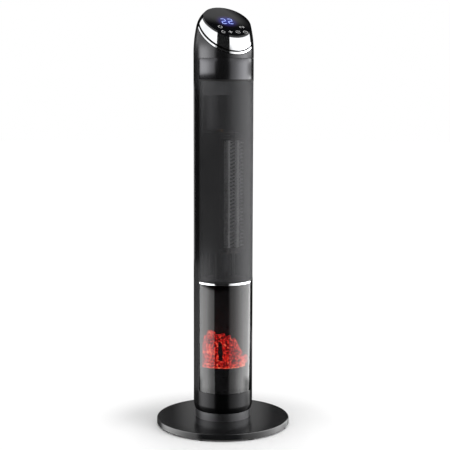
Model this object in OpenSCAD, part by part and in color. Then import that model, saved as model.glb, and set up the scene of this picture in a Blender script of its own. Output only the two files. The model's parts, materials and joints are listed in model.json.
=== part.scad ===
// Tower fan heater on a round swivelling base, with a glowing ember display under its grille.
// Millimetres. +Z is up, the front faces -Y, and the origin is on the floor under the tower's axis.

/* [Base] */
// Diameter of the base disc
base_d = 253; // [230:1:300]
// Height of the base disc's upright rim
rim_h = 11; // [10:0.5:16]
// Rise of the disc from its rim to the collar's seat
crown_h = 2; // [1:0.5:5]
// Rounding of the rim's upper edge
rim_edge_r = 2.5; // [1:0.5:4]
// Wall of the moulded base cover
base_wall = 2.5; // [2:0.25:3]
// Thickness of the plate that closes the base from below
plate_t = 2.5; // [2:0.25:3]
// Thickness of the steel ballast ring
ballast_t = 4; // [2:0.5:5]
// Inner radius of the ballast ring
ballast_in_r = 64; // [60:1:80]
// Width of the ballast ring
ballast_w = 42; // [20:1:44]
// Height of each rubber foot under the plate
foot_h = 3; // [2:0.5:5]
// Radius of each rubber foot
foot_r = 7; // [5:0.5:9]
// Number of rubber feet
foot_n = 8; // [6:1:10]

/* [Swivel] */
// Outer radius of the fixed collar on the base
collar_r = 52.5; // [50:0.5:56]
// Height of the fixed collar
collar_h = 15; // [12:0.5:24]
// Wall of the collar
collar_wall = 3; // [2:0.5:4]
// Open groove between the collar and the turning skirt
groove_h = 1; // [0.6:0.1:2]
// Radius of the fixed post that the tower turns on
post_r = 20; // [16:0.5:21]
// Radius of the hole through the post
post_hole_r = 10; // [6:0.5:11]
// Running clearance of the turning and sliding fits
run_gap = 0.05; // [0.02:0.01:0.09]
// Radial width of the low-friction washer
washer_w = 20; // [10:1:24]
// Module of the swing gears
gear_m = 1.25; // [1.1:0.05:1.3]
// Teeth on the fixed swing gear
gear_n = 44; // [40:4:44]
// Teeth on the swing motor's pinion
pinion_n = 16; // [14:2:16]
// Thickness of the swing gear and its pinion
gear_t = 6; // [4:0.5:7]
// Thickness taken off each tooth at the pitch line, for backlash
backlash = 0.16; // [0.12:0.02:0.24]

/* [Tower] */
// Outer radius of the tower
tower_r = 56; // [55:0.5:62]
// Wall of the moulded tower covers
shell_t = 2.5; // [2:0.25:3]
// Radius of the skirt where it meets the groove
skirt_foot_r = 53.3; // [52:0.1:54.5]
// Height over which the skirt widens to the tower's radius
skirt_taper_h = 12.5; // [8:0.5:20]
// Height of the skirt, up to the window
skirt_h = 38.4; // [36:0.2:48]
// Thickness of the tower's floor
floor_t = 4; // [3:0.5:5]
// Angle that the front covers span
front_span = 160; // [150:2:170]
// Width of the seams between the covers
seam_w = 0.4; // [0.2:0.1:0.8]
// Height of the smoked window
window_h = 206.6; // [190:0.2:240]
// Height of the bright trim line above the window
trim_h = 4; // [2:0.5:6]
// How far the trim line stands proud
trim_proud = 0.2; // [0.1:0.1:0.6]
// Height of the front grille
grille_h = 376; // [350:1:420]
// Height of the plain band above the grille
band_h = 39; // [34:1:50]
// Thickness of the inner lips that the front covers seat on
lip_t = 2; // [1.5:0.25:2.5]

/* [Grille] */
// Upright bars across the front grille
bar_n = 39; // [31:2:43]
// Width of each upright bar
bar_w = 1.8; // [1.2:0.2:2.2]
// Plain frame round the openwork
grille_frame = 5; // [4:0.5:7]
// Cross bands over the upright bars
cross_n = 8; // [5:1:10]
// Height of each cross band
cross_h = 2; // [1.5:0.5:3]

/* [Head] */
// Straight part of the head above its seam
neck_h = 9; // [4:1:14]
// Radius of the gently curved side of the head, in profile
side_rho = 230; // [200:5:300]
// Height of that curved side
side_h = 50; // [46:1:54]
// Radius of the dome above it, in profile
dome_rho = 47.7; // [44:0.5:48]
// Slope of the control panel
panel_tilt = 35.6; // [34:0.2:37]
// Height of the panel's front edge above the head's seam
panel_rise = 36; // [33:0.5:38]
// Thickness of the glossy control lens
lens_t = 2.6; // [2:0.2:3.2]
// Thickness of the bright rings
ring_t = 1.8; // [1.4:0.2:2.2]
// Slope of the wide ring's lower edge
wide_tilt = 41.5; // [40:0.5:43]
// Height of the wide ring at its front
wide_h = 21.7; // [19:0.1:23]
// Dark gap between the two rings at the front
ring_gap = 2.1; // [1.5:0.1:3]
// Slope of the thin ring
thin_tilt = 40; // [39:0.5:41]
// Height of the thin ring at its front
thin_h = 4; // [3:0.25:5]
// Wall of the inner neck behind the rings
neck_wall = 2; // [1.5:0.25:2.5]

/* [Controls] */
// Width of the display board
board_w = 54; // [50:1:60]
// Length of the display board up the slope
board_l = 52; // [50:1:58]
// Gap between the lens and the display board
board_gap = 5; // [4:0.5:7]
// Thickness of every circuit board
pcb_t = 1.6; // [1:0.2:2]
// Width of the two-digit display
digits_w = 26; // [20:1:30]
// Height of the two-digit display up the slope
digits_l = 18; // [14:1:22]
// Centre of the display, up the slope from the panel's front edge
digits_at = 49; // [44:1:54]
// Radius of each touch-key spring
key_r = 2.6; // [2:0.2:4]
// Spacing of the four keys in the lower row
key_pitch = 14.7; // [13:0.1:16]
// Lower row of keys, up the slope from the panel's front edge
key_row_1 = 16; // [13:0.5:18]
// Upper row of keys, up the slope from the panel's front edge
key_row_2 = 31; // [28:0.5:34]

/* [Fan] */
// Outer radius of the cross-flow impeller
fan_r = 26; // [22:0.5:28]
// Length of the impeller
fan_l = 212; // [190:2:230]
// Distance of the impeller's axis behind the tower's axis
fan_back = 15; // [13:0.5:16]
// Blades on the impeller
blade_n = 30; // [24:1:34]
// Thickness of each blade
blade_t = 1; // [0.8:0.1:1.4]
// Radial depth of each blade
blade_depth = 6.5; // [5:0.5:8]
// Discs along the impeller, with its two ends
disc_n = 5; // [3:1:7]
// Thickness of each disc
disc_t = 1.6; // [1.2:0.2:2.4]
// Radius of the impeller's shaft
shaft_r = 2.5; // [2:0.25:4]
// Radius of the fan motor
motor_r = 21; // [18:0.5:23]
// Height of the fan motor
motor_h = 38; // [30:1:42]
// Gap under the fan motor
motor_lift = 16; // [8:1:20]
// Wall of the blower housing
duct_t = 2; // [1.5:0.25:2.5]
// Smallest gap between the impeller and the housing
duct_gap = 3; // [2:0.25:4]
// Growth of the scroll's radius over its half turn
scroll_growth = 9; // [6:0.5:10]

/* [Heating element] */
// Width of the finned element
ptc_w = 42; // [38:1:44]
// Height of the finned element
ptc_h = 200; // [180:2:210]
// Depth of the finned element
ptc_d = 13; // [11:0.5:14]
// Width of each flat heater tube
tube_w = 3.6; // [3:0.2:5]
// Distance of each heater tube from the middle
tube_x = 9; // [8:0.25:10]
// Pitch of the folded fins
fin_pitch = 3.4; // [3:0.1:4.5]
// Width of a fin's strip where it meets a tube
fin_fold = 1.9; // [1.4:0.1:2.2]
// Border of the element's frame
ptc_border = 3; // [2.5:0.25:3.5]
// Gap between the element's frame and the covers
ptc_gap = 0.8; // [0.4:0.1:0.9]

/* [Ember display] */
// Height of the ember tray's top above the window's lower edge
tray_lift = 47.6; // [40:0.2:56]
// Thickness of the tray
tray_t = 3; // [2:0.5:4]
// Radius of the ember bed
ember_r = 47; // [42:0.5:48]
// Height of the ember bed's flat bottom layer
ember_base_h = 12; // [8:1:16]
// Height of the tallest log above the tray
log_h = 71; // [60:1:76]
// Thickness of the light screen behind the embers
screen_t = 1.4; // [1:0.2:2]
// Radius of each light on the light board
led_r = 2.5; // [2:0.25:3]
// Number of lights
led_n = 5; // [3:2:7]

/* [Back] */
// Height of each intake slot
slot_h = 4.5; // [3:0.25:5]
// Spacing of the intake slots
slot_pitch = 8; // [7:0.5:11]
// Angle that each intake slot spans
slot_span = 30; // [24:1:34]
// Angle between neighbouring slots in a row
slot_step = 36; // [35:0.5:40]
// Width of the carrying recess
grip_w = 70; // [64:1:76]
// Height of the carrying recess
grip_h = 30; // [26:1:36]
// Depth of the carrying recess from the back of the tower
grip_depth = 25; // [22:0.5:28]
// Height of the recess's middle below the head's seam
grip_drop = 52; // [46:1:60]
// Wall of the recess's cup
grip_wall = 2; // [1.5:0.25:2.5]
// Width of the power switch's rocker
rocker_w = 11; // [10:0.5:13]
// Height of the power switch's rocker
rocker_h = 16; // [14:0.5:18]
// Angle that the rocker leans each way
rocker_tilt = 8; // [6:0.5:10]
// Height of the power switch above the window's lower edge
switch_lift = 30; // [20:1:36]
// Radius of the cable gland's neck
gland_r = 6.2; // [5:0.2:7]
// Radius of the hole through the gland
gland_hole_r = 3.6; // [2.5:0.1:4]
// Height of the gland above the tower's floor
gland_lift = 16; // [14:1:20]
// Width of the power board
power_w = 60; // [50:1:64]
// Height of the power board
power_h = 112; // [90:1:116]

/* [Screws] */
// Radius of every screw's shank
screw_r = 1.5; // [1.2:0.1:1.8]
// Radius of every screw's head
screw_head_r = 3; // [2.6:0.1:3.4]
// Height of every screw's head
screw_head_h = 1.8; // [1.4:0.1:2.2]
// Length of every screw's shank
screw_l = 9; // [8:0.5:10]
// Clearance round a screw's shank
screw_gap = 0.1; // [0.05:0.05:0.2]
// Radius of every moulded screw boss
boss_r = 4; // [3.6:0.2:4.6]

/* [Hidden] */
$fn = 96;
hull_fn = 20;
over = 1;
far = 200;
// Depth by which joined shapes share a place
fuse = 0.5;
// Plain land beside bosses, feet and seats
land = 1.5;
// Clearance of parts that seat in each other, and of parts that are only laid in
fit_gap = 0.1;
loose_gap = 0.3;
// Flat spade terminals
spade_w = 4.8;
spade_t = 0.8;

base_r = base_d / 2;
z_plate = foot_h;
z_rim = z_plate + rim_h;
z_seat = z_rim + crown_h;
seat_r = collar_r + land;
z_collar = z_seat + collar_h;
z_skirt = z_collar + groove_h;
z_floor = z_skirt + floor_t;
z_window = z_skirt + skirt_h;
z_trim = z_window + window_h;
z_grille = z_trim + trim_h;
z_band = z_grille + grille_h;
z_head = z_band + band_h;

foot_ring_r = base_r - foot_r - land;
peg_r = foot_r / 3;
base_screw_ring = ballast_in_r - boss_r - land;
base_screw_n = 4;
hub_screw_ring = collar_r - collar_wall - boss_r - land;
hub_screw_n = 4;
gear_screw_n = 3;
gear_screw_ring = (post_r + post_hole_r) / 2;

post_lift = 0.3;
z_gear = z_floor + post_lift;
centre_gap = gear_m * (gear_n + pinion_n) / 2;
pinion_hub_gap = 0.3;
z_pinion_top = z_gear + gear_t;
bracket_t = 2.5;
z_bracket = z_pinion_top + land;
swing_shaft_r = 2.5;
swing_shaft_grip = 9;
swing_motor_r = 13;
swing_motor_h = 18;
swing_ear_t = 1.2;
swing_ear_r = screw_head_r + fuse;
swing_boss_x = 19;
z_swing_top = z_bracket + bracket_t + swing_ear_t;

pressure_a = 20;
addendum = 0.8;
dedendum = 1.05;
gear_tip_r = gear_m * (gear_n / 2 + addendum);

shell_in_r = tower_r - shell_t;
lip_out_r = shell_in_r - fit_gap;
lip_in_r = lip_out_r - lip_t;
spigot_r = lip_in_r - fit_gap;
spigot_t = 2;
spigot_h = 7;
seam_a = asin(seam_w / tower_r);
lip_a = 7;
lip_root_a = 2;

z_arc = z_head + neck_h;
side_end_a = asin(side_h / side_rho);
z_shoulder = z_arc + side_h;
shoulder_r = tower_r - side_rho * (1 - cos(side_end_a));
dome_cx = shoulder_r - dome_rho * cos(side_end_a);
dome_cz = z_shoulder - dome_rho * sin(side_end_a);
z_panel = z_head + panel_rise;
panel_r = tower_r - side_rho + sqrt(pow(side_rho, 2) - pow(z_panel - z_arc, 2));
z_wide = z_panel - wide_h;
z_thin_top = z_wide - ring_gap;
z_thin = z_thin_top - thin_h;
neck_step = 3;
board_centre = 38.5;
board_post_inset = 4;
board_post_y = [(key_row_1 + key_row_2) / 2, board_centre + board_l / 2 - board_post_inset];
board_post_r = 2.5;
// Places of the touch keys on the panel
key_places = concat(
  [for (i = [-1.5:1:1.5]) [i * key_pitch, key_row_1]],
  [for (side = [-1, 1]) [side * key_pitch * 1.5, key_row_2]]);

ptc_frame_w = ptc_w + 2 * ptc_border;
ptc_frame_h = ptc_h + 2 * ptc_border;
ptc_front_y = ptc_gap - sqrt(pow(lip_in_r, 2) - pow(ptc_frame_w / 2, 2));
ptc_back_y = ptc_front_y + ptc_d;
tube_inset = 1;
tube_d = ptc_d - 2 * tube_inset;
z_bulkhead = z_trim - 1;
bulkhead_t = 4;
end_gap = 4;
z_motor = z_bulkhead + bulkhead_t + motor_lift;
z_duct = z_motor + motor_h;
z_fan = z_duct + duct_t + end_gap;
z_duct_top = z_fan + fan_l + end_gap;
z_ptc = (z_duct + duct_t + z_duct_top) / 2 - ptc_h / 2;
bearing_r = 7;
bearing_h = 6;
bearing_flange_w = 2;
bearing_flange_t = 1.5;
motor_ear_t = 3;
leg_r = 2.8;
leg_n = 4;
leg_ring_r = motor_r + leg_r + land + 2;
wire_hole_r = 4;

z_tray = z_window + tray_lift - tray_t;
z_ember = z_tray + tray_t;
tray_wall = 2;
tray_out_r = spigot_r - 0.4;
led_hole_r = led_r + loose_gap;
led_ring_r = ember_r * 0.62;
led_step_a = 32;
led_drop = 6;
screen_side_x = spigot_r - 4;
screen_side_y = 2;

grip_z = z_head - grip_drop;
grip_y = tower_r - grip_depth;
switch_z = z_window + switch_lift;
bezel_t = 2.2;
bezel_lap = 2.2;
switch_wall = 1.2;
switch_gap = 0.5;
switch_seat = 0.8;
switch_depth = 17;
rocker_pivot_r = 1.2;
rocker_rise = 2.6;
rocker_end_gap = 1;
switch_in_w = rocker_w / 2 + switch_gap;
switch_in_h = rocker_h / 2 + switch_gap + rocker_end_gap;
switch_out_w = switch_in_w + switch_wall;
switch_out_h = switch_in_h + switch_wall;
switch_y = tower_r - switch_seat;
rocker_y = switch_y - rocker_rise;
switch_tab_l = 6;
switch_tab_z = 5;
gland_z = z_floor + gland_lift;
gland_a = 45;
gland_flange_r = gland_r + 2.4;
gland_flange_t = 3;
gland_seat_y = tower_r - 0.9;
z_power = switch_z + rocker_h + 12;
power_y = sqrt(pow(lip_in_r, 2) - pow(power_w / 2, 2)) - 6;
power_inset = 6;
power_post_r = 3;
power_depth = 18;
cover_screw_a = 40;
cover_screw_seat = 1.2;

// Shapes that several parts share

// A flat ring with true round edges
module ring2d(out_r, in_r) {
  difference() {
    circle(r = out_r);
    circle(r = in_r);
  }
}

// A flat wedge from the axis, centred on the front, narrower than a half turn
module wedge2d(span) {
  steps = 4;
  polygon(concat([[0, 0]],
    [for (i = [0:steps])
      let (a = span * (i / steps - 0.5))
      [far * sin(a), -far * cos(a)]]));
}

// The part of a ring that the front covers take
module front_ring2d(out_r, in_r, gap_a) {
  intersection() {
    ring2d(out_r, in_r);
    wedge2d(front_span - 2 * gap_a);
  }
}

module front_wall(out_r, in_r, height) {
  linear_extrude(height) front_ring2d(out_r, in_r, seam_a);
}

module tube(out_r, in_r, height) {
  linear_extrude(height) ring2d(out_r, in_r);
}

module cylinder_to(z0, z1, r) {
  translate([0, 0, z0]) cylinder(r = r, h = z1 - z0);
}

module tube_to(z0, z1, out_r, in_r) {
  translate([0, 0, z0]) tube(out_r, in_r, z1 - z0);
}

// Children twice, at equal distances left and right
module both_sides(x) {
  for (side = [-1, 1]) {
    translate([side * x, 0, 0]) children();
  }
}

// Children repeated on a circle, the first one at the front
module around(count, ring_r) {
  for (i = [0:count - 1]) {
    rotate([0, 0, i * 360 / count]) translate([0, -ring_r, 0]) children();
  }
}

// A screw whose head rests at z = 0 and whose shank goes down
module screw() {
  cylinder(r = screw_head_r, h = screw_head_h);
  translate([0, 0, -screw_l]) cylinder(r = screw_r, h = screw_l + screw_head_h / 2);
}

module screw_hole(depth) {
  translate([0, 0, -depth]) cylinder(r = screw_r + screw_gap, h = depth + over);
}

// Everything under a plane that rises towards the back, from height z at the panel's front edge
module under_plane(z, tilt) {
  translate([0, -panel_r, z]) rotate([tilt, 0, 0]) translate([-far, -far, -far * 2])
    cube([far * 2, far * 2.5, far * 2]);
}

// Half profile of the head, drawn in by an inset, from its seam to the top of its dome
module head_profile(inset) {
  side_in = side_rho - inset;
  z_join = z_arc + side_in * sin(side_end_a);
  translate([0, z_head]) square([tower_r - inset, neck_h]);
  intersection() {
    translate([0, z_arc]) square([tower_r - inset, z_join - z_arc]);
    translate([tower_r - side_rho, z_arc]) circle(r = side_in);
  }
  intersection() {
    translate([0, z_join]) square([tower_r, dome_rho]);
    translate([dome_cx, dome_cz]) circle(r = dome_rho - inset);
  }
}

module head_form(inset) {
  rotate_extrude() head_profile(inset);
}

// Children placed on the lens's lower face, with +Y up the slope from the panel's front edge
module on_panel(up) {
  translate([0, -panel_r, z_panel]) rotate([panel_tilt, 0, 0]) translate([0, up, 0]) children();
}

// Gear teeth

// Involute of an angle, in degrees
function involute(a) = tan(a) * 180 / PI - a;

// Half the angle that a tooth takes up at radius r
function tooth_half_a(r, n) =
  let (pitch_r = gear_m * n / 2,
    flank_r = pitch_r * cos(pressure_a),
    at_pitch = 90 / n - backlash / 2 / pitch_r * 180 / PI)
  at_pitch + involute(pressure_a) - involute(acos(min(1, flank_r / max(r, flank_r))));

function tooth_radii(n) =
  let (pitch_r = gear_m * n / 2,
    root = pitch_r - dedendum * gear_m,
    tip = pitch_r + addendum * gear_m)
  [for (k = [0:4]) root + (tip - root) * k / 4];

function polar(r, a) = [r * sin(a), -r * cos(a)];

// A spur gear outline with one tooth centred on the front
module gear2d(n) {
  radii = tooth_radii(n);
  polygon([for (i = [0:n - 1])
    let (a = i * 360 / n)
    each concat(
      [for (r = radii) polar(r, a - tooth_half_a(r, n))],
      [for (k = [len(radii) - 1:-1:0]) polar(radii[k], a + tooth_half_a(radii[k], n))])]);
}

// Base

module rubber_feet() color([0.06, 0.06, 0.06]) {
  around(foot_n, foot_ring_r) {
    cylinder(r = foot_r, h = foot_h);
    translate([0, 0, foot_h / 2]) cylinder(r = peg_r, h = foot_h / 2 + plate_t);
  }
}

module base_plate() color([0.1, 0.1, 0.1]) translate([0, 0, z_plate]) {
  difference() {
    cylinder(r = base_r - base_wall - loose_gap, h = plate_t);
    around(foot_n, foot_ring_r) {
      translate([0, 0, -over]) cylinder(r = peg_r + run_gap, h = plate_t + 2 * over);
    }
    around(base_screw_n, base_screw_ring) {
      translate([0, 0, -over]) cylinder(r = screw_r + screw_gap, h = plate_t + 2 * over);
    }
  }
}

module base_screws() color([0.7, 0.7, 0.72]) {
  around(base_screw_n, base_screw_ring) {
    translate([0, 0, z_plate]) mirror([0, 0, 1]) screw();
  }
}

module ballast_ring() color([0.45, 0.45, 0.47]) translate([0, 0, z_plate + plate_t]) {
  tube(ballast_in_r + ballast_w, ballast_in_r, ballast_t);
}

// Half section of the base disc, drawn in by an inset
module disc_section(inset) {
  rim_x = base_r - inset;
  rim_top = z_rim - inset;
  edge_r = max(rim_edge_r - inset, fuse);
  polygon([[0, z_plate], [rim_x, z_plate], [rim_x, rim_top - edge_r], [rim_x - edge_r, rim_top],
    [seat_r, z_seat - inset], [0, z_seat - inset]]);
  translate([rim_x - edge_r, rim_top - edge_r]) circle(r = edge_r);
}

module base_cover() color([0.08, 0.08, 0.08]) {
  difference() {
    rotate_extrude() disc_section(0);
    difference() {
      rotate_extrude() disc_section(base_wall);
      around(base_screw_n, base_screw_ring) {
        translate([0, 0, z_plate + plate_t]) cylinder(r = boss_r, h = z_seat);
      }
    }
    translate([0, 0, z_plate - over]) cylinder(r = base_r - base_wall, h = over * 2);
    around(base_screw_n, base_screw_ring) {
      translate([0, 0, z_plate]) cylinder(r = screw_r + screw_gap, h = screw_l + over / 2);
    }
    around(hub_screw_n, hub_screw_ring) {
      translate([0, 0, z_rim]) cylinder(r = screw_r + screw_gap, h = far, center = true);
    }
  }
}

module swivel_hub() color([0.09, 0.09, 0.09]) {
  drum_top = z_collar - collar_wall;
  core_r = post_hole_r + collar_wall;
  difference() {
    union() {
      translate([0, 0, z_seat]) cylinder(r = collar_r, h = collar_h);
      cylinder_to(z_collar, z_gear, post_r);
    }
    translate([0, 0, z_seat - over]) {
      linear_extrude(collar_h - collar_wall + over) difference() {
        ring2d(collar_r - collar_wall, core_r);
        around(hub_screw_n, hub_screw_ring) circle(r = boss_r);
      }
      cylinder(r = post_hole_r, h = far);
    }
    around(hub_screw_n, hub_screw_ring) {
      translate([0, 0, z_seat - over]) cylinder(r = screw_r + screw_gap, h = screw_l + over);
    }
    around(gear_screw_n, gear_screw_ring) translate([0, 0, z_gear]) screw_hole(screw_l + fuse);
  }
}

module hub_screws() color([0.7, 0.7, 0.72]) {
  around(hub_screw_n, hub_screw_ring) {
    translate([0, 0, z_seat - base_wall]) mirror([0, 0, 1]) screw();
  }
}

module slip_washer() color([0.92, 0.92, 0.9]) translate([0, 0, z_collar]) {
  tube(post_r + 2 + washer_w, post_r + 2, groove_h);
}

module swing_gear() color([0.88, 0.87, 0.82]) translate([0, 0, z_gear]) {
  difference() {
    linear_extrude(gear_t) rotate(180) gear2d(gear_n);
    translate([0, 0, -over]) cylinder(r = post_hole_r, h = gear_t + 2 * over);
    around(gear_screw_n, gear_screw_ring) translate([0, 0, gear_t]) screw_hole(gear_t + over);
  }
}

module gear_screws() color([0.7, 0.7, 0.72]) {
  around(gear_screw_n, gear_screw_ring) translate([0, 0, z_gear + gear_t]) screw();
}

// Lower end of the tower

// Half section of the skirt's outside, drawn in by an inset
module skirt_profile(inset) {
  foot_in = tower_r - skirt_foot_r;
  flare_r = (pow(skirt_taper_h, 2) + pow(foot_in, 2)) / (2 * foot_in);
  z_taper = z_skirt + skirt_taper_h;
  translate([0, z_taper]) square([tower_r - inset, z_window - z_taper]);
  intersection() {
    translate([0, z_skirt]) square([tower_r - inset, skirt_taper_h]);
    translate([tower_r - flare_r, z_taper]) circle(r = flare_r - inset);
  }
}

module lower_skirt() color([0.1, 0.1, 0.1]) {
  difference() {
    union() {
      difference() {
        rotate_extrude() skirt_profile(0);
        difference() {
          rotate_extrude() skirt_profile(shell_t);
          cylinder_to(0, z_floor, far);
        }
      }
      tube_to(z_window - shell_t, z_window, shell_in_r + fuse, spigot_r - spigot_t);
      tube_to(z_window - shell_t, z_window + spigot_h, spigot_r, spigot_r - spigot_t);
      swing_places() cylinder_to(z_floor - fuse, z_bracket, boss_r);
    }
    cylinder_to(z_skirt - over, z_floor + over, post_r + run_gap);
    swing_places() translate([0, 0, z_swing_top]) screw_hole(screw_l + fuse);
    cover_screw_axes(z_window + spigot_h / 2) screw_hole(far / 4);
    gland_cut();
  }
}

// The swing motor's two screws, beside the pinion
module swing_places() {
  translate([0, centre_gap, 0]) both_sides(swing_boss_x) children();
}

// Children placed on the gland's axis, with +Z outwards
module gland_place() {
  translate([0, 0, gland_z]) rotate([-90, 0, -gland_a]) children();
}

// Room for the gland's flange, neck and nut in the skirt's wall
module gland_cut() {
  gland_place() {
    cylinder(r = gland_r + run_gap, h = far);
    translate([0, 0, gland_seat_y]) cylinder(r = gland_flange_r + loose_gap, h = far);
  }
}

module cable_gland() color([0.05, 0.05, 0.05]) {
  nut_y = sqrt(pow(shell_in_r, 2) - pow(gland_flange_r, 2)) - gland_flange_t;
  gland_place() difference() {
    union() {
      translate([0, 0, nut_y]) cylinder(r = gland_flange_r, h = gland_flange_t);
      translate([0, 0, nut_y]) cylinder(r = gland_r, h = gland_seat_y - nut_y);
      translate([0, 0, gland_seat_y]) cylinder(r = gland_flange_r, h = gland_flange_t);
    }
    cylinder(r = gland_hole_r, h = far);
  }
}

// Screws through the back cover, at the given height, with their heads outwards
module cover_screw_axes(z) {
  for (side = [-1, 1]) {
    rotate([0, 0, side * cover_screw_a]) translate([0, tower_r - cover_screw_seat, z])
      rotate([-90, 0, 0]) children();
  }
}

// Plate that hangs the swing motor over its pinion
module swing_bracket() color([0.75, 0.76, 0.78]) {
  difference() {
    translate([0, centre_gap, z_bracket]) linear_extrude(bracket_t) hull() {
      both_sides(swing_boss_x) circle(r = boss_r, $fn = hull_fn);
      circle(r = swing_motor_r * 0.7, $fn = hull_fn);
    }
    translate([0, centre_gap, 0])
      cylinder_to(z_bracket - over, z_bracket + bracket_t + over, swing_shaft_r + 2);
    swing_places() translate([0, 0, z_swing_top]) screw_hole(screw_l + over);
  }
}

module swing_motor() color([0.8, 0.81, 0.83]) {
  z_low = z_bracket + bracket_t;
  terminal_w = 14;
  terminal_d = 3;
  difference() {
    translate([0, centre_gap, z_low]) {
      cylinder(r = swing_motor_r, h = swing_motor_h);
      linear_extrude(swing_ear_t) hull() both_sides(swing_boss_x) circle(r = swing_ear_r, $fn = hull_fn);
      translate([-terminal_w / 2, -swing_motor_r - terminal_d, swing_ear_t + land])
        cube([terminal_w, terminal_d + 2, swing_motor_h / 2]);
    }
    translate([0, centre_gap, 0])
      cylinder_to(z_low - over, z_low + swing_shaft_grip + over, swing_shaft_r + run_gap);
    swing_places() translate([0, 0, z_swing_top]) screw_hole(screw_l + over);
  }
}

module swing_screws() color([0.7, 0.7, 0.72]) {
  swing_places() translate([0, 0, z_swing_top]) screw();
}

module swing_pinion() color([0.9, 0.9, 0.86]) translate([0, centre_gap, 0]) {
  shoulder_w = 1.5;
  z_low = z_gear + pinion_hub_gap;
  translate([0, 0, z_low]) linear_extrude(z_pinion_top - z_low) rotate(180 / pinion_n) gear2d(pinion_n);
  cylinder_to(z_low, z_bracket + bracket_t + swing_shaft_grip, swing_shaft_r);
  cylinder_to(z_pinion_top - fuse, z_pinion_top + fuse, swing_shaft_r + shoulder_w);
}

// Closed switch on the tower's floor that cuts the power when the heater falls over
module tilt_switch() color([0.85, 0.85, 0.82]) {
  width = 14;
  height = 18;
  slot_w = 3;
  slot_depth = 4;
  ear = [6, 3, 2];
  translate([-gear_tip_r - land - width, -width / 2, z_floor]) {
    difference() {
      cube([width, width, height]);
      for (y = [-over, width - slot_w]) {
        translate([-over, y, height - slot_depth]) cube([width + 2 * over, slot_w + over, far]);
      }
    }
    for (y = [-ear[1], width]) {
      translate([(width - ear[0]) / 2, y, 0]) cube(ear);
    }
  }
}

// Covers

module rear_housing() color([0.09, 0.09, 0.09]) {
  height = z_head - z_window;
  slot_z0 = z_fan + 2;
  slot_rows = floor((z_fan + fan_l - 2 - slot_h - slot_z0) / slot_pitch);
  difference() {
    union() {
      translate([0, 0, z_window]) linear_extrude(height) {
        difference() {
          ring2d(tower_r, shell_in_r);
          wedge2d(front_span);
        }
        difference() {
          intersection() {
            ring2d(shell_in_r + fuse, lip_in_r);
            wedge2d(front_span + 2 * lip_root_a);
          }
          wedge2d(front_span);
        }
        difference() {
          intersection() {
            ring2d(lip_out_r, lip_in_r);
            wedge2d(front_span + 2 * lip_root_a);
          }
          wedge2d(front_span - 2 * lip_a);
        }
      }
      power_posts();
    }
    for (row = [0:slot_rows]) {
      translate([0, 0, slot_z0 + row * slot_pitch]) linear_extrude(slot_h) {
        for (col = [-1:1]) rotate(180 + col * slot_step) wedge2d(slot_span);
      }
    }
    grip_cut();
    switch_cut();
    for (z = [z_window + spigot_h / 2, z_head - spigot_h / 2]) {
      cover_screw_axes(z) {
        screw_hole(far / 4);
        cylinder(r = screw_head_r + screw_gap, h = far);
      }
    }
    cover_screw_axes(z_bulkhead + bulkhead_t / 2) {
      screw_hole(far / 4);
      cylinder(r = screw_head_r + screw_gap, h = far);
    }
  }
}

module grip_cut() {
  translate([-grip_w / 2, grip_y, grip_z - grip_h / 2]) cube([grip_w, far, grip_h]);
}

module carry_cup() color([0.07, 0.07, 0.07]) {
  difference() {
    intersection() {
      translate([-grip_w / 2 - grip_wall, grip_y - grip_wall, grip_z - grip_h / 2 - grip_wall])
        cube([grip_w + 2 * grip_wall, far, grip_h + 2 * grip_wall]);
      cylinder_to(z_trim, z_head, shell_in_r);
    }
    grip_cut();
  }
}

// Flat seat and opening for the power switch
module switch_cut() {
  half_w = switch_out_w + fit_gap;
  half_h = switch_out_h + fit_gap;
  translate([-half_w, 0, switch_z - half_h]) cube([2 * half_w, far, 2 * half_h]);
  translate([-half_w - bezel_lap, switch_y, switch_z - half_h - bezel_lap])
    cube([2 * (half_w + bezel_lap), far, 2 * (half_h + bezel_lap)]);
}

// Posts that carry the power board from the back cover
module power_posts() {
  intersection() {
    for (z = [power_inset, power_h - power_inset]) {
      both_sides(power_w / 2 - power_inset) translate([0, power_y + pcb_t, z_power + z])
        rotate([-90, 0, 0]) cylinder(r = power_post_r, h = far / 4);
    }
    cylinder_to(z_window, z_head, shell_in_r + fuse);
  }
}

module window() color([0.03, 0.03, 0.035, 0.6]) translate([0, 0, z_window]) {
  front_wall(tower_r, shell_in_r, window_h);
}

module chrome_trim() color([0.85, 0.86, 0.88]) translate([0, 0, z_trim]) {
  front_wall(tower_r + trim_proud, shell_in_r, trim_h);
}

module front_grille() color([0.13, 0.13, 0.13]) translate([0, 0, z_grille]) {
  side_a = asin(grille_frame / tower_r);
  open_a = front_span - 2 * side_a;
  bar_sink = 0.4;
  cross_sink = bar_sink / 2;
  cross_root_a = 0.5;
  open_h = grille_h - 2 * grille_frame;
  front_wall(tower_r, shell_in_r, grille_frame);
  translate([0, 0, grille_h - grille_frame]) front_wall(tower_r, shell_in_r, grille_frame);
  translate([0, 0, grille_frame]) linear_extrude(open_h) {
    difference() {
      front_ring2d(tower_r, shell_in_r, seam_a);
      wedge2d(open_a);
    }
    intersection() {
      ring2d(tower_r - bar_sink, shell_in_r + bar_sink);
      for (i = [1:bar_n]) {
        rotate(open_a * (i / (bar_n + 1) - 0.5)) translate([-bar_w / 2, -far]) square([bar_w, far]);
      }
    }
  }
  for (k = [1:cross_n]) {
    translate([0, 0, grille_frame + open_h * k / (cross_n + 1) - cross_h / 2])
      linear_extrude(cross_h) intersection() {
        ring2d(tower_r - cross_sink, shell_in_r + cross_sink);
        wedge2d(open_a + 2 * cross_root_a);
      }
  }
}

module front_band() color([0.16, 0.16, 0.16]) translate([0, 0, z_band]) {
  front_wall(tower_r, shell_in_r, band_h - seam_w);
}

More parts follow.
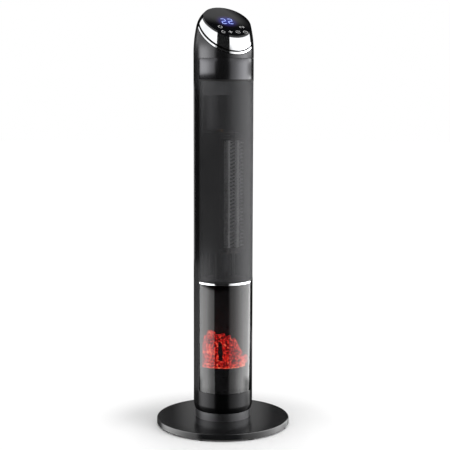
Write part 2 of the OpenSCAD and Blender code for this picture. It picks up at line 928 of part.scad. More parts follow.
module cover_screws() color([0.25, 0.25, 0.26]) {
  for (z = [z_window + spigot_h / 2, z_bulkhead + bulkhead_t / 2, z_head - spigot_h / 2]) {
    cover_screw_axes(z) screw();
  }
}

// Power switch

module switch_body() color([0.05, 0.05, 0.05]) {
  lap_w = switch_out_w + bezel_lap;
  lap_h = switch_out_h + bezel_lap;
  back_y = switch_y - switch_depth;
  translate([0, 0, switch_z]) {
    difference() {
      union() {
        translate([-lap_w, switch_y, -lap_h]) cube([2 * lap_w, bezel_t, 2 * lap_h]);
        translate([-switch_out_w, back_y, -switch_out_h])
          cube([2 * switch_out_w, switch_depth + over, 2 * switch_out_h]);
      }
      translate([-switch_in_w, back_y + switch_wall, -switch_in_h])
        cube([2 * switch_in_w, far, 2 * switch_in_h]);
      translate([0, rocker_y, 0]) rotate([0, 90, 0])
        cylinder(r = rocker_pivot_r + run_gap, h = 2 * (switch_out_w + over), center = true);
    }
    for (z = [-switch_tab_z, switch_tab_z]) {
      translate([-spade_w / 2, back_y - switch_tab_l, z - spade_t / 2])
        cube([spade_w, switch_tab_l + fuse, spade_t]);
    }
  }
}

module switch_rocker() color([0.08, 0.08, 0.08]) {
  half_h = rocker_h / 2;
  crest = bezel_t + rocker_rise + 1.2;
  dip = crest - 1.6;
  shoulder = -1;
  keel = -4;
  keel_h = 3;
  translate([0, rocker_y, switch_z]) rotate([-rocker_tilt, 0, 0]) {
    rotate([90, 0, 90]) linear_extrude(rocker_w, center = true)
      polygon([[crest, half_h], [dip, 0], [crest, -half_h],
        [shoulder, -half_h], [keel, -keel_h], [keel, keel_h], [shoulder, half_h]]);
    rotate([0, 90, 0]) cylinder(r = rocker_pivot_r, h = 2 * (switch_out_w - fit_gap), center = true);
  }
}

// Children placed on the power board's face, with +Z towards the front
module on_power_board(x, z) {
  translate([x, power_y + fuse, z_power + z]) rotate([90, 0, 0]) children();
}

module power_board() color([0.1, 0.35, 0.18]) {
  relay = [15, 19, 14];
  relay_step = 18;
  supply = [26, 22, 16];
  choke = [20, 10, 9];
  capacitor_r = 6;
  buzzer_r = 5;
  difference() {
    translate([-power_w / 2, power_y, z_power]) cube([power_w, pcb_t, power_h]);
    for (z = [power_inset, power_h - power_inset]) {
      both_sides(power_w / 2 - power_inset) translate([0, power_y + pcb_t, z_power + z]) rotate([-90, 0, 0])
        cylinder(r = screw_r, h = far, center = true);
    }
  }
  for (k = [-1:1]) {
    on_power_board(k * relay_step, power_h * 0.13) translate([-relay[0] / 2, 0, 0]) cube(relay);
  }
  on_power_board(-supply[0] * 0.85, power_h * 0.38) cube(supply);
  on_power_board(0, power_h * 0.7) cube(choke);
  on_power_board(power_w * 0.27, power_h * 0.5) cylinder(r = capacitor_r, h = relay[2]);
  on_power_board(-power_w * 0.23, power_h * 0.76) cylinder(r = buzzer_r, h = relay[2] - 2);
}

// Ember display

module ember_tray() color([0.06, 0.06, 0.06]) {
  difference() {
    cylinder_to(z_window + spigot_h, z_ember, tray_out_r);
    cylinder_to(z_window, z_tray, tray_out_r - tray_wall);
    light_places() cylinder(r = led_hole_r, h = far, center = true);
    translate([-far / 2, power_y - power_depth, z_window]) cube(far);
  }
}

// Children at each light's place, on an arc under the embers
module light_places() {
  for (i = [0:led_n - 1]) {
    rotate([0, 0, (i - (led_n - 1) / 2) * led_step_a]) translate([0, -led_ring_r, z_tray]) children();
  }
}

// Board under the tray, on posts between its lights
module light_board() color([0.1, 0.32, 0.16]) {
  board_half_w = 8;
  post_r = 2;
  lens_h = led_drop + tray_t - led_r;
  translate([0, 0, z_tray - led_drop - pcb_t]) linear_extrude(pcb_t) intersection() {
    ring2d(led_ring_r + board_half_w, led_ring_r - board_half_w);
    wedge2d(led_n * led_step_a + 10);
  }
  light_places() translate([0, 0, -led_drop - fuse]) {
    cylinder(r = led_r, h = lens_h + fuse);
    translate([0, 0, lens_h + fuse]) sphere(r = led_r);
  }
  for (i = [1:led_n - 1]) {
    rotate([0, 0, (i - led_n / 2) * led_step_a]) translate([0, -led_ring_r, z_tray - led_drop - fuse])
      cylinder(r = post_r, h = led_drop + fuse);
  }
}

// A tapered log between two places in the ember bed
module log_between(a, b, r_a, r_b) {
  hull() {
    translate(a) cylinder(r1 = r_a, r2 = r_a * 0.6, h = r_a, center = true, $fn = 9);
    translate(b) cylinder(r1 = r_b, r2 = r_b * 0.5, h = r_b, center = true, $fn = 7);
  }
}

// Logs as start, end, start radius and end radius, above the tray
function ember_logs() = [
  [[-35, -9, 9], [-33, -13, log_h * 0.86], 9.5, 9],
  [[-34, -8, 11], [-10, -26, log_h * 0.74], 10, 9],
  [[-8, -30, 10], [2, -27, log_h * 0.56], 12, 10],
  [[10, -31, 9], [16, -26, log_h * 0.35], 11, 9],
  [[-27, -27, 10], [31, -22, log_h * 0.18], 8.5, 9],
  [[22, -27, 9], [34, -10, log_h * 0.2], 9, 8],
  [[-36, -4, 8], [-29, -22, log_h * 0.24], 8, 9],
  [[30, -22, 8], [36, -5, log_h * 0.2], 8, 7]];

module ember_bed() color([0.95, 0.22, 0.04]) translate([0, 0, z_ember]) {
  linear_extrude(ember_base_h) intersection() {
    circle(r = ember_r, $fn = 48);
    translate([-far, -far]) square([2 * far, far + screen_side_y - screen_t - land]);
  }
  for (log = ember_logs()) log_between(log[0], log[1], log[2], log[3]);
}

// Bent sheet behind the embers, from cover lip to cover lip
module light_screen() color([0.08, 0.08, 0.08]) {
  back_y = power_y - power_depth - 2;
  turn_x = 26;
  outline = [[-screen_side_x, screen_side_y], [-turn_x, back_y], [turn_x, back_y],
    [screen_side_x, screen_side_y]];
  translate([0, 0, z_ember]) linear_extrude(z_bulkhead - z_ember) difference() {
    polygon(outline);
    translate([0, -screen_t]) scale([1 - screen_t / screen_side_x, 1]) polygon(outline);
  }
}

// Fan

module bulkhead() color([0.12, 0.12, 0.12]) {
  difference() {
    cylinder_to(z_bulkhead, z_bulkhead + bulkhead_t, spigot_r);
    cover_screw_axes(z_bulkhead + bulkhead_t / 2) screw_hole(screw_l + 2);
    translate([0, fan_back * 2, 0]) both_sides(motor_r + 2 * wire_hole_r)
      cylinder_to(z_bulkhead - over, z_bulkhead + bulkhead_t + over, wire_hole_r);
  }
}

module fan_place(z) {
  translate([0, fan_back, z]) children();
}

module fan_motor() color([0.72, 0.73, 0.75]) fan_place(z_motor) {
  difference() {
    union() {
      cylinder(r = motor_r, h = motor_h);
      translate([0, 0, motor_h - motor_ear_t]) linear_extrude(motor_ear_t) hull() {
        both_sides(motor_r + boss_r) circle(r = boss_r, $fn = hull_fn);
      }
      translate([0, 0, -motor_lift]) cylinder(r = motor_r / 2, h = motor_lift + over);
    }
    translate([0, 0, motor_h / 2]) cylinder(r = shaft_r + run_gap, h = motor_h);
  }
}

// Air path round the impeller and out to the heating element, seen from above
module air_path() {
  start_a = 115;
  turn = 140;
  steps = 14;
  tongue_a = -32;
  inner_r = fan_r + duct_gap;
  root_r = inner_r - fuse;
  scroll = [for (i = [0:steps])
    let (a = start_a + turn * i / steps, r = root_r + (scroll_growth + fuse) * i / steps)
    [r * cos(a), fan_back + r * sin(a)]];
  mouth_x = ptc_w / 2;
  polygon(concat(scroll,
    [[-mouth_x, ptc_back_y - over], [mouth_x, ptc_back_y - over],
     [root_r * cos(tongue_a), fan_back + root_r * sin(tongue_a)]]));
  translate([0, fan_back]) circle(r = inner_r);
}

module blower_housing() color([0.14, 0.14, 0.14]) {
  intake_a = 136;
  intake_r = fan_r + duct_gap + duct_t + scroll_growth;
  difference() {
    translate([0, 0, z_duct]) linear_extrude(z_duct_top + duct_t - z_duct) intersection() {
      offset(r = duct_t, $fn = hull_fn) air_path();
      translate([-far, ptc_back_y]) square([2 * far, 2 * far]);
    }
    translate([0, 0, z_duct + duct_t]) linear_extrude(z_duct_top - z_duct - duct_t) {
      air_path();
      translate([0, fan_back]) rotate(180) intersection() {
        wedge2d(intake_a);
        circle(r = intake_r);
      }
    }
    fan_place(z_duct - over) cylinder(r = bearing_r + over, h = duct_t + 2 * over);
    fan_place(z_duct_top - over) cylinder(r = bearing_r, h = duct_t + 2 * over);
  }
  fan_place(0) rotate([0, 0, 180 / leg_n]) around(leg_n, leg_ring_r)
    cylinder_to(z_bulkhead + bulkhead_t, z_duct + fuse, leg_r);
}

module impeller() color([0.2, 0.2, 0.21]) fan_place(z_fan) {
  camber_r = blade_depth * 1.1;
  camber_centre = camber_r * 0.8;
  mid_r = fan_r - blade_depth / 2;
  gap = (fan_l - disc_t) / (disc_n - 1);
  linear_extrude(fan_l) intersection() {
    for (i = [0:blade_n - 1]) {
      rotate(i * 360 / blade_n) translate([mid_r, camber_centre]) ring2d(camber_r, camber_r - blade_t);
    }
    ring2d(fan_r - loose_gap, fan_r - blade_depth);
  }
  for (k = [0:disc_n - 1]) {
    end = k == 0 || k == disc_n - 1;
    translate([0, 0, k * gap]) tube(fan_r, end ? shaft_r : fan_r - blade_depth - over, disc_t);
  }
}

module impeller_shaft() color([0.8, 0.81, 0.83]) {
  fan_place(z_motor + motor_h / 2 + over)
    cylinder(r = shaft_r, h = z_duct_top + duct_t + bearing_h / 2 - z_motor - motor_h / 2 - over);
}

module top_bearing() color([0.75, 0.62, 0.35]) fan_place(z_duct_top) {
  difference() {
    union() {
      cylinder(r = bearing_r - run_gap, h = duct_t + bearing_h);
      translate([0, 0, duct_t]) cylinder(r = bearing_r + bearing_flange_w, h = bearing_flange_t);
    }
    translate([0, 0, -over]) cylinder(r = shaft_r + run_gap, h = duct_t + bearing_h);
  }
}

// Heating element

module element_frame() color([0.72, 0.7, 0.66]) {
  translate([0, ptc_front_y, z_ptc]) difference() {
    translate([-ptc_frame_w / 2, 0, -ptc_border]) cube([ptc_frame_w, ptc_d, ptc_frame_h]);
    translate([-ptc_w / 2, -over, 0]) cube([ptc_w, ptc_d + 2 * over, ptc_h]);
  }
}

module heater_tubes() color([0.82, 0.83, 0.85]) {
  for (side = [-1, 1]) {
    translate([side * tube_x - tube_w / 2, ptc_front_y + tube_inset, z_ptc]) cube([tube_w, tube_d, ptc_h]);
  }
}

// One folded strip of fins between x = 0 and x = width
module fin_pack(width) {
  folds = floor(ptc_h / fin_pitch);
  start = (ptc_h - folds * fin_pitch) / 2;
  side_x = [for (k = [0:folds]) k % 2 == 0 ? 0 : width - fin_fold];
  translate([0, tube_d, 0]) rotate([90, 0, 0]) linear_extrude(tube_d) polygon(concat(
    [for (k = [0:folds]) [side_x[k] + fin_fold, start + k * fin_pitch]],
    [for (k = [folds:-1:0]) [side_x[k], start + k * fin_pitch]]));
}

module heater_fins() color([0.66, 0.67, 0.69]) translate([0, ptc_front_y + tube_inset, z_ptc]) {
  mid_w = 2 * tube_x - tube_w;
  outer_w = ptc_w / 2 - tube_x - tube_w / 2;
  translate([-mid_w / 2, 0, 0]) fin_pack(mid_w);
  translate([-ptc_w / 2, 0, 0]) fin_pack(outer_w);
  translate([ptc_w / 2 - outer_w, 0, 0]) fin_pack(outer_w);
}

module element_tabs() color([0.8, 0.78, 0.7]) {
  tab_l = 9;
  for (x = [-tube_x, 0, tube_x]) {
    translate([x - spade_w / 2, ptc_front_y + (ptc_d - spade_t) / 2, z_ptc - ptc_border - tab_l])
      cube([spade_w, spade_t, tab_l]);
  }
}

// Bimetal cut-out on a strap over the element
module thermal_cutout() color([0.25, 0.25, 0.27]) {
  strap_w = 12;
  strap_t = 1;
  can_h = 7;
  pin_x = 3.5;
  pin_l = 7;
  translate([0, ptc_front_y + ptc_d / 2, z_ptc + ptc_h + ptc_border]) {
    translate([-strap_w / 2, -tube_d / 2, 0]) cube([strap_w, tube_d, strap_t]);
    cylinder(r = tube_d / 2 - strap_t, h = can_h);
    both_sides(pin_x) translate([-fuse, -spade_t / 2, can_h - over])
      cube([2 * fuse, spade_t, pin_l + over]);
  }
}

// Head

module head_shell() color([0.12, 0.12, 0.12]) {
  neck_in = ring_t + neck_wall;
  difference() {
    union() {
      intersection() {
        head_form(0);
        under_plane(z_thin, thin_tilt);
      }
      intersection() {
        head_form(ring_t);
        under_plane(z_panel, panel_tilt);
      }
      tube_to(z_head - spigot_h, z_head + shell_t, spigot_r, spigot_r - spigot_t);
      tube_to(z_head, z_head + shell_t, shell_in_r + fuse, spigot_r - spigot_t);
    }
    difference() {
      intersection() {
        head_form(shell_t);
        under_plane(z_thin - neck_step, thin_tilt);
      }
      cylinder_to(0, z_head + shell_t, far);
    }
    difference() {
      head_form(neck_in);
      cylinder_to(0, z_head + shell_t, far);
    }
    cylinder_to(z_band, z_head + shell_t + over, spigot_r - spigot_t);
    cover_screw_axes(z_head - spigot_h / 2) screw_hole(far / 4);
  }
}

// A bright ring that lies on the head's neck, between two sloping planes
module ring_between(z_top, top_tilt, z_low, low_tilt) {
  intersection() {
    difference() {
      head_form(0);
      head_form(ring_t);
    }
    difference() {
      under_plane(z_top, top_tilt);
      under_plane(z_low, low_tilt);
    }
  }
}

module thin_ring() color([0.88, 0.89, 0.91]) {
  ring_between(z_thin_top, thin_tilt, z_thin, thin_tilt);
}

module wide_ring() color([0.88, 0.89, 0.91]) {
  ring_between(z_panel, panel_tilt, z_wide, wide_tilt);
}

module control_lens() color([0.04, 0.04, 0.045]) {
  rise = lens_t / cos(panel_tilt);
  difference() {
    intersection() {
      head_form(0);
      under_plane(z_panel + rise, panel_tilt);
    }
    under_plane(z_panel, panel_tilt);
  }
  for (y = board_post_y) {
    on_panel(y) both_sides(board_w / 2 - board_post_inset) cylinder_to(-board_gap, lens_t / 2, board_post_r);
  }
}

module display_board() color([0.1, 0.3, 0.16]) {
  on_panel(board_centre) translate([-board_w / 2, -board_l / 2, -board_gap - pcb_t])
    cube([board_w, board_l, pcb_t]);
}

module digit_display() color([0.1, 0.2, 0.75]) {
  on_panel(digits_at) translate([-digits_w / 2, -digits_l / 2, -board_gap])
    cube([digits_w, digits_l, board_gap - loose_gap]);
}

module touch_springs() color([0.8, 0.78, 0.6]) {
  for (place = key_places) {
    on_panel(place[1]) translate([place[0], 0, -board_gap]) cylinder(r = key_r, h = board_gap);
  }
}

rubber_feet();
base_plate();
base_screws();
ballast_ring();
base_cover();
swivel_hub();
hub_screws();
slip_washer();
swing_gear();
gear_screws();
lower_skirt();
swing_bracket();
swing_motor();
swing_screws();
swing_pinion();
tilt_switch();
cable_gland();
rear_housing();
window();
chrome_trim();
front_grille();
front_band();
cover_screws();
carry_cup();
switch_body();
switch_rocker();
power_board();
ember_tray();
light_board();
ember_bed();
light_screen();
bulkhead();
fan_motor();
blower_housing();
impeller();
impeller_shaft();
top_bearing();
element_frame();
heater_tubes();
heater_fins();
element_tabs();
thermal_cutout();
head_shell();
thin_ring();
wide_ring();
control_lens();
display_board();
digit_display();
touch_springs();
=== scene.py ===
# %% [markdown]
# # A tower fan heater with an ember window
# A slim round tower stands on a low disc. What the eye picks out are satin black covers, a metal mesh as
# fine as cloth, two bright rings under a sloped glass panel, and red embers behind a smoked window.
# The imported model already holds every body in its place, so this lesson only dresses it: camera and light
# first, then one finish for each kind of material, then the pieces whose shapes deserve finer modelling.

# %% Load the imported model
import json
import math

import bmesh
import bpy
from mathutils import Matrix, Vector, noise
from mathutils.bvhtree import BVHTree


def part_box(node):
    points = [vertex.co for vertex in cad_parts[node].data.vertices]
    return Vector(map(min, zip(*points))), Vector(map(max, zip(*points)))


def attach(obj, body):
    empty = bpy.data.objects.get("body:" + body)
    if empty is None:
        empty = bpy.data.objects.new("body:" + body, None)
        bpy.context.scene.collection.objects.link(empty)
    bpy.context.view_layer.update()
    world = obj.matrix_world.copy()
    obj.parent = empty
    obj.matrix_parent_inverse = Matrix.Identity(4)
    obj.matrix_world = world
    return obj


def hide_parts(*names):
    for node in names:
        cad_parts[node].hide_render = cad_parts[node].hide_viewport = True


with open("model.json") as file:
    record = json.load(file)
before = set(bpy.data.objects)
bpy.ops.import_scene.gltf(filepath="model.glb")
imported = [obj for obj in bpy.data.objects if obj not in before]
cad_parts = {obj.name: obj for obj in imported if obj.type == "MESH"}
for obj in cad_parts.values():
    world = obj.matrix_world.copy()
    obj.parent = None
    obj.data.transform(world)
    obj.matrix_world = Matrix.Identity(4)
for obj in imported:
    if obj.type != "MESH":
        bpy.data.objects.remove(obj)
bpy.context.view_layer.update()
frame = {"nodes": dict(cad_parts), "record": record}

# %% [markdown]
# ## Sizes
# Lengths are written in millimetres, as on a drawing, and each piece is scaled to metres when it is done.
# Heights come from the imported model's own boxes, so the pieces stay on what carries them.

# %% Read the main heights
MM = 0.001


def low(node):
    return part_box(node)[0] / MM


def high(node):
    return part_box(node)[1] / MM


tower_r = high("rear_housing").y
wall = 2.5
z_window, z_trim = low("window").z, low("chrome_trim").z
z_grille, z_band = low("front_grille").z, low("front_band").z
z_head = high("rear_housing").z
print("tower radius", round(tower_r, 1), "mm; window, trim, grille, band and head start at",
      [round(z, 1) for z in (z_window, z_trim, z_grille, z_band, z_head)])

# %% [markdown]
# ## Camera
# The photograph was taken from the front left and a little above the middle of the tower, with a long lens.
# These values come from fitting the outlines of base, tower and head, so the render can be laid over it.

# %% Place the camera
shot_from = Vector((-0.9997, -2.0571, 0.6810))
shot_turn, shot_drop, shot_lean = (math.radians(a) for a in (26, 7.407, 0.128))
look = Vector((math.sin(shot_turn) * math.cos(shot_drop), math.cos(shot_turn) * math.cos(shot_drop),
               -math.sin(shot_drop)))
camera = bpy.data.objects.new("camera", bpy.data.cameras.new("camera"))
camera.data.lens, camera.data.sensor_width = 97.72, 36
camera.matrix_world = (Matrix.Translation(shot_from) @ look.to_track_quat("-Z", "Y").to_matrix().to_4x4()
                       @ Matrix.Rotation(shot_lean, 4, "Z"))
bpy.context.scene.collection.objects.link(camera)
bpy.context.scene.camera = camera
bpy.context.scene.view_settings.view_transform = "Standard"
print("camera stands", round(shot_from.length, 2), "m away")

# %% [markdown]
# ## Writing shaders as sums
# A finish is a small sheet of nodes. Here one class wraps an output socket, so that `1 - mask` or
# `grain * 0.3 + 0.2` adds its Math nodes by itself, and one method adds every other kind of node.

# %% Wires


class Wire:
    """An output socket that takes part in sums."""

    def __init__(self, sheet, socket):
        self.sheet, self.socket = sheet, socket

    def maths(self, operation, *values):
        return self.sheet.node("ShaderNodeMath", {"operation": operation}, dict(enumerate(values)))

    def __add__(self, other):
        return self.maths("ADD", self, other)

    def __sub__(self, other):
        return self.maths("SUBTRACT", self, other)

    def __rsub__(self, other):
        return self.maths("SUBTRACT", other, self)

    def __mul__(self, other):
        return self.maths("MULTIPLY", self, other)

    def __gt__(self, other):
        return self.maths("GREATER_THAN", self, other)

    def __lt__(self, other):
        return self.maths("LESS_THAN", self, other)

    __radd__ = __add__
    __rmul__ = __mul__


print("wires can be summed")

# %% Sheets


class Sheet:
    """A node tree that grows one node at a time."""

    def __init__(self, tree):
        self.tree = tree

    def plug(self, socket, value):
        if isinstance(value, Wire):
            self.tree.links.new(value.socket, socket)
        else:
            socket.default_value = value

    def node(self, kind, settings=None, values=None, output=0):
        made = self.tree.nodes.new(kind)
        for name, value in (settings or {}).items():
            if name == "stops":
                ramp = made.color_ramp
                while len(ramp.elements) < len(value):
                    ramp.elements.new(1)
                for stop, (at, shade) in zip(ramp.elements, value):
                    stop.position, stop.color = at, shade
            else:
                setattr(made, name, value)
        for name, value in (values or {}).items():
            self.plug(made.inputs[name], value)
        return Wire(self, made.outputs[output])

    def place(self):
        return self.node("ShaderNodeTexCoord", output="Object")

    def along(self, axis):
        return self.node("ShaderNodeSeparateXYZ", None, {0: self.place()}, axis)

    def stretched(self, scale):
        return self.node("ShaderNodeMapping", None, {"Vector": self.place(), "Scale": scale})

    def noise(self, scale, detail=2, place=None):
        return self.node("ShaderNodeTexNoise", None,
                         {"Vector": place or self.place(), "Scale": scale, "Detail": detail})

    def ramp(self, share, stops):
        return self.node("ShaderNodeValToRGB", {"stops": stops}, {0: share})

    def blend(self, share, first, second):
        return self.node("ShaderNodeMix", {"data_type": "RGBA"}, {0: share, 6: first, 7: second}, 2)

    def bump(self, height, strength, depth):
        return self.node("ShaderNodeBump", None,
                         {"Height": height, "Strength": strength, "Distance": depth})


class Finish(Sheet):
    """A material with its Principled shader."""

    def __init__(self, name, **values):
        self.material = bpy.data.materials.new(name)
        self.material.use_nodes = True
        super().__init__(self.material.node_tree)
        self.shader = self.tree.nodes["Principled BSDF"]
        self.put(**values)

    def put(self, **values):
        for name, value in values.items():
            self.plug(self.shader.inputs[name.replace("_", " ")], value)


def shade(red, green, blue):
    return (red, green, blue, 1)


print("sheets can be written")

# %% [markdown]
# ## Floor and backdrop
# A plain pale floor carries the object's own shadow. A little further out it fades into the white of the
# backdrop, so that no horizon shows. The world is white where the camera, a mirror or clear plastic sees
# it, and a modest even light for everything else.

# %% Make the floor
base_edge, shadow_edge, floor_reach = 0.132, 0.28, 9
floor_mesh = bmesh.new()
bmesh.ops.create_circle(floor_mesh, cap_ends=True, segments=64, radius=floor_reach)
floor = bpy.data.objects.new("floor", bpy.data.meshes.new("floor"))
floor_mesh.to_mesh(floor.data)
floor_mesh.free()
bpy.context.scene.collection.objects.link(floor)
floor_finish = Finish("pale_floor", Roughness=0.9, Emission_Strength=1)
from_foot = floor_finish.node("ShaderNodeVectorMath", {"operation": "LENGTH"},
                              {0: floor_finish.place()}, "Value")
fade = floor_finish.node("ShaderNodeMapRange", {"interpolation_type": "SMOOTHSTEP"},
                         {"Value": from_foot, "From Min": base_edge, "From Max": shadow_edge})
eyes = ("Is Camera Ray", "Is Glossy Ray", "Is Transmission Ray")
seen = [floor_finish.node("ShaderNodeLightPath", output=ray) for ray in eyes]
looked_at = floor_finish.node("ShaderNodeClamp", None, {0: seen[0] + seen[1] + seen[2]}) * fade
floor_finish.put(Base_Color=floor_finish.blend(looked_at, shade(0.9, 0.9, 0.9), shade(0, 0, 0)),
                 Emission_Color=floor_finish.blend(looked_at, shade(0, 0, 0), shade(1, 1, 1)))
floor.data.materials.append(floor_finish.material)
floor.visible_glossy = False

print("the floor is pale within", shadow_edge, "m and white beyond")

# %% Make the world
air_level = 0.55
world = bpy.data.worlds.new("studio")
world.use_nodes = True
bpy.context.scene.world = world
air = Sheet(world.node_tree)
seen = [air.node("ShaderNodeLightPath", output=ray) for ray in eyes]
shown = air.node("ShaderNodeClamp", None, {0: seen[0] + seen[1] + seen[2]})
backdrop = air.tree.nodes["Background"].inputs
air.plug(backdrop["Color"], shade(1, 1, 1))
air.plug(backdrop["Strength"], shown * (1 - air_level) + air_level)
print("the world lights at", air_level, "and looks white")

# %% [markdown]
# ## Light
# Three soft lamps give an even level, at which a colour renders about as it is written, a little brighter
# from the right. Black gloss shows nothing but reflections, so the mirror-like surfaces get a studio tent
# of their own: bright cards left and right, and black between them, where the camera stands. Only
# reflections see the tent.

# %% Hang the lamps


def lamp(name, turn, height, reach, width, tall, power):
    """A soft lamp, turned away from the camera's side and aimed at the middle of the tower."""
    data = bpy.data.lights.new(name, "AREA")
    data.shape, data.size, data.size_y, data.energy = "RECTANGLE", width, tall, power
    made = bpy.data.objects.new(name, data)
    angle = shot_turn + math.radians(turn)
    spot = Vector((-math.sin(angle) * reach, -math.cos(angle) * reach, height))
    made.matrix_world = (Matrix.Translation(spot)
                         @ (Vector((0, 0, 0.4)) - spot).to_track_quat("-Z", "Y").to_matrix().to_4x4())
    made.visible_glossy = False
    bpy.context.scene.collection.objects.link(made)


lamp("left_lamp", turn=70, height=1.3, reach=2.0, width=1.2, tall=1.6, power=2.5)
lamp("right_lamp", turn=-70, height=1.3, reach=2.0, width=1.2, tall=1.6, power=22)
lamp("top_lamp", turn=0, height=2.6, reach=0.6, width=1.8, tall=1.8, power=18)

# %% The reflection tent
tent_r, tent_foot, tent_top = 190, -160, 1050
tent_mesh = bmesh.new()
ring = [tent_mesh.verts.new((tent_r, 0, z)) for z in (tent_foot, tent_top)]
crown = [tent_mesh.verts.new((tent_r * math.cos(a), 0, tent_top + tent_r * math.sin(a)))
         for a in (math.radians(d) for d in (15, 30, 45, 60, 75, 89))]
line = ring + crown
outline = [tent_mesh.edges.new(pair) for pair in zip(line, line[1:])]
bmesh.ops.spin(tent_mesh, geom=line + outline, cent=(0, 0, 0), axis=(0, 0, 1), angle=math.tau, steps=96,
               use_merge=True, use_duplicate=False)
bmesh.ops.remove_doubles(tent_mesh, verts=tent_mesh.verts, dist=0.01)
bmesh.ops.scale(tent_mesh, verts=tent_mesh.verts, vec=(MM, MM, MM))
tent = bpy.data.objects.new("reflection_tent", bpy.data.meshes.new("reflection_tent"))
tent_mesh.to_mesh(tent.data)
tent_mesh.free()
bpy.context.scene.collection.objects.link(tent)
tent.visible_camera = tent.visible_diffuse = tent.visible_shadow = False
tent.visible_transmission = tent.visible_volume_scatter = False
print("tent:", len(tent.data.polygons), "faces")

# %% [markdown]
# The cards are painted on the tent as brightness over the angle, seen from the camera's side: minus is
# left, plus is right, 180 is behind. Each height of the tent is mirrored by one part of the tower, so a few
# zones dim or replace the cards there.

# %% Cards all round
cloth = Finish("tent_cloth", Base_Color=shade(0, 0, 0), Roughness=1)
turned = cloth.node("ShaderNodeMapping", None,
                    {"Vector": cloth.place(), "Rotation": (0, 0, shot_turn)})
across = cloth.node("ShaderNodeSeparateXYZ", None, {0: turned}, 0)
away = cloth.node("ShaderNodeSeparateXYZ", None, {0: turned}, 1)
around = cloth.node("ShaderNodeMath", {"operation": "ARCTAN2"}, {0: across, 1: away * -1})
card_light = [(-180, 0.3), (-158, 0.3), (-146, 0.04), (-128, 0.1), (-116, 0.28), (-106, 0.15), (-97, 0.25),
              (-92, 3.3), (-86, 4.7), (-77, 5.3), (-59, 4.8), (-44, 2.7), (-37, 2.1), (-30, 1.8), (-28, 0),
              (18, 0), (22, 0.6), (28, 1.1), (35, 1.4), (42, 1.9), (50, 2.7), (58, 3.8), (66, 4.5),
              (76, 5.4), (87, 5.2), (98, 4.9), (107, 5.4), (112, 6.3), (116, 0.02), (146, 0.02),
              (158, 0.3), (180, 0.3)]
top_light = 6.5
card = cloth.ramp(around * (1 / math.tau) + 0.5,
                  [((angle + 180) / 360, shade(*[light / top_light] * 3)) for angle, light in card_light])
rise = cloth.along(2)
print(len(card_light), "stops of light round the tent")

# %% Zones of the tent


def between(low_end, high_end):
    """Goes from 0 to 1 as the tent rises from one height to the other."""
    return cloth.node("ShaderNodeMapRange", {"clamp": True},
                      {"Value": rise, "From Min": low_end, "From Max": high_end})


def sector(first, last):
    """Is 1 between two angles of the tent."""
    return (around > math.radians(first)) * (around < math.radians(last))


def outward(first, last):
    """Goes from 0 to 1 between two angles, on both sides of the tent."""
    return cloth.node("ShaderNodeMapRange", {"interpolation_type": "SMOOTHSTEP"},
                      {"Value": cloth.node("ShaderNodeMath", {"operation": "ABSOLUTE"}, {0: around}),
                       "From Min": math.radians(first), "From Max": math.radians(last)})


mesh_height = between(0.285, 0.295) * (1 - between(0.638, 0.65))
mesh_zone = sector(-130, -20) * mesh_height
band_zone = between(0.635, 0.65) * (1 - between(0.7, 0.72))
ring_zone = between(0.722, 0.742)
foot_zone = 1 - between(0.02, 0.035)
ring_cards = (sector(-118, -22) + sector(20, 112)) * 1.3
cards = (card * top_light * (1 - band_zone * outward(80, 106) * 0.75) * (1 - mesh_zone * 0.97)
         * (1 - foot_zone * outward(70, 100) * 0.65))
wall_light = ((cards * (1 - ring_zone) + ring_cards * ring_zone)
              * (1 - between(0.93, 1.0)) * (between(-0.02, 0) * 0.25 + 0.75))
print("zones for the foot, the mesh, the band and the rings")

# %% Panel, strips and the cloth's light
# over the head hangs a grey panel for the lens, and behind the head runs a thin bright strip
panel_light = cloth.node("ShaderNodeMapRange", {"interpolation_type": "SMOOTHSTEP"},
                         {"Value": cloth.along(1) - rise * 0.3,
                          "From Min": -0.25, "From Max": -0.19, "To Max": 0.6})
strip_light = (cloth.along(1) > 0.05) * between(0.9, 0.905) * (1 - between(0.935, 0.94)) * 2.5
# the back cover's left edge mirrors a dim strip beside the tower, and its back a strip straight behind
side_light = sector(-175, -133) * mesh_height * 0.5
back_light = outward(160, 172) * between(0.1, 0.2) * (1 - between(0.7, 0.9)) * 2.2
cloth.put(Emission_Color=(wall_light + side_light + back_light + panel_light * between(0.96, 1.0)
                          + strip_light), Emission_Strength=1)
tent.data.materials.append(cloth.material)
print("cloth:", len(cloth.tree.nodes), "nodes")

# %% [markdown]
# ## Finishes
# Each material slot of the record gets one finish. Moulded plastic is never one flat colour: its tool was
# spark-eroded, which leaves a fine grain, and its gloss wanders a little. Both come from noise on Object
# coordinates, which need no unwrapping. The covers are lacquered so smoothly that they mirror like dark
# metal, so they are written as one. A tight grain suits them, which one helper keeps the same for all.

# %% Plastics


def moulded(name, colour, roughness, grain=1500, depth=0.00003, wander=0.05, **values):
    finish = Finish(name, **values)
    cloud = finish.noise(14, 3)
    pale = [min(1, c * 1.25 + 0.002) for c in colour]
    finish.put(Base_Color=finish.blend(cloud, shade(*colour), shade(*pale)),
               Roughness=cloud * wander + (roughness - wander / 2),
               Normal=finish.bump(finish.noise(grain, 1), 0.25, depth))
    return finish.material


def lacquered(name, grey, roughness, blue=0.0):
    """A dark cover that mirrors the cards softly."""
    return moulded(name, (grey, grey, grey + blue), roughness, 1500, 0.00001, 0.06, Metallic=0.92)


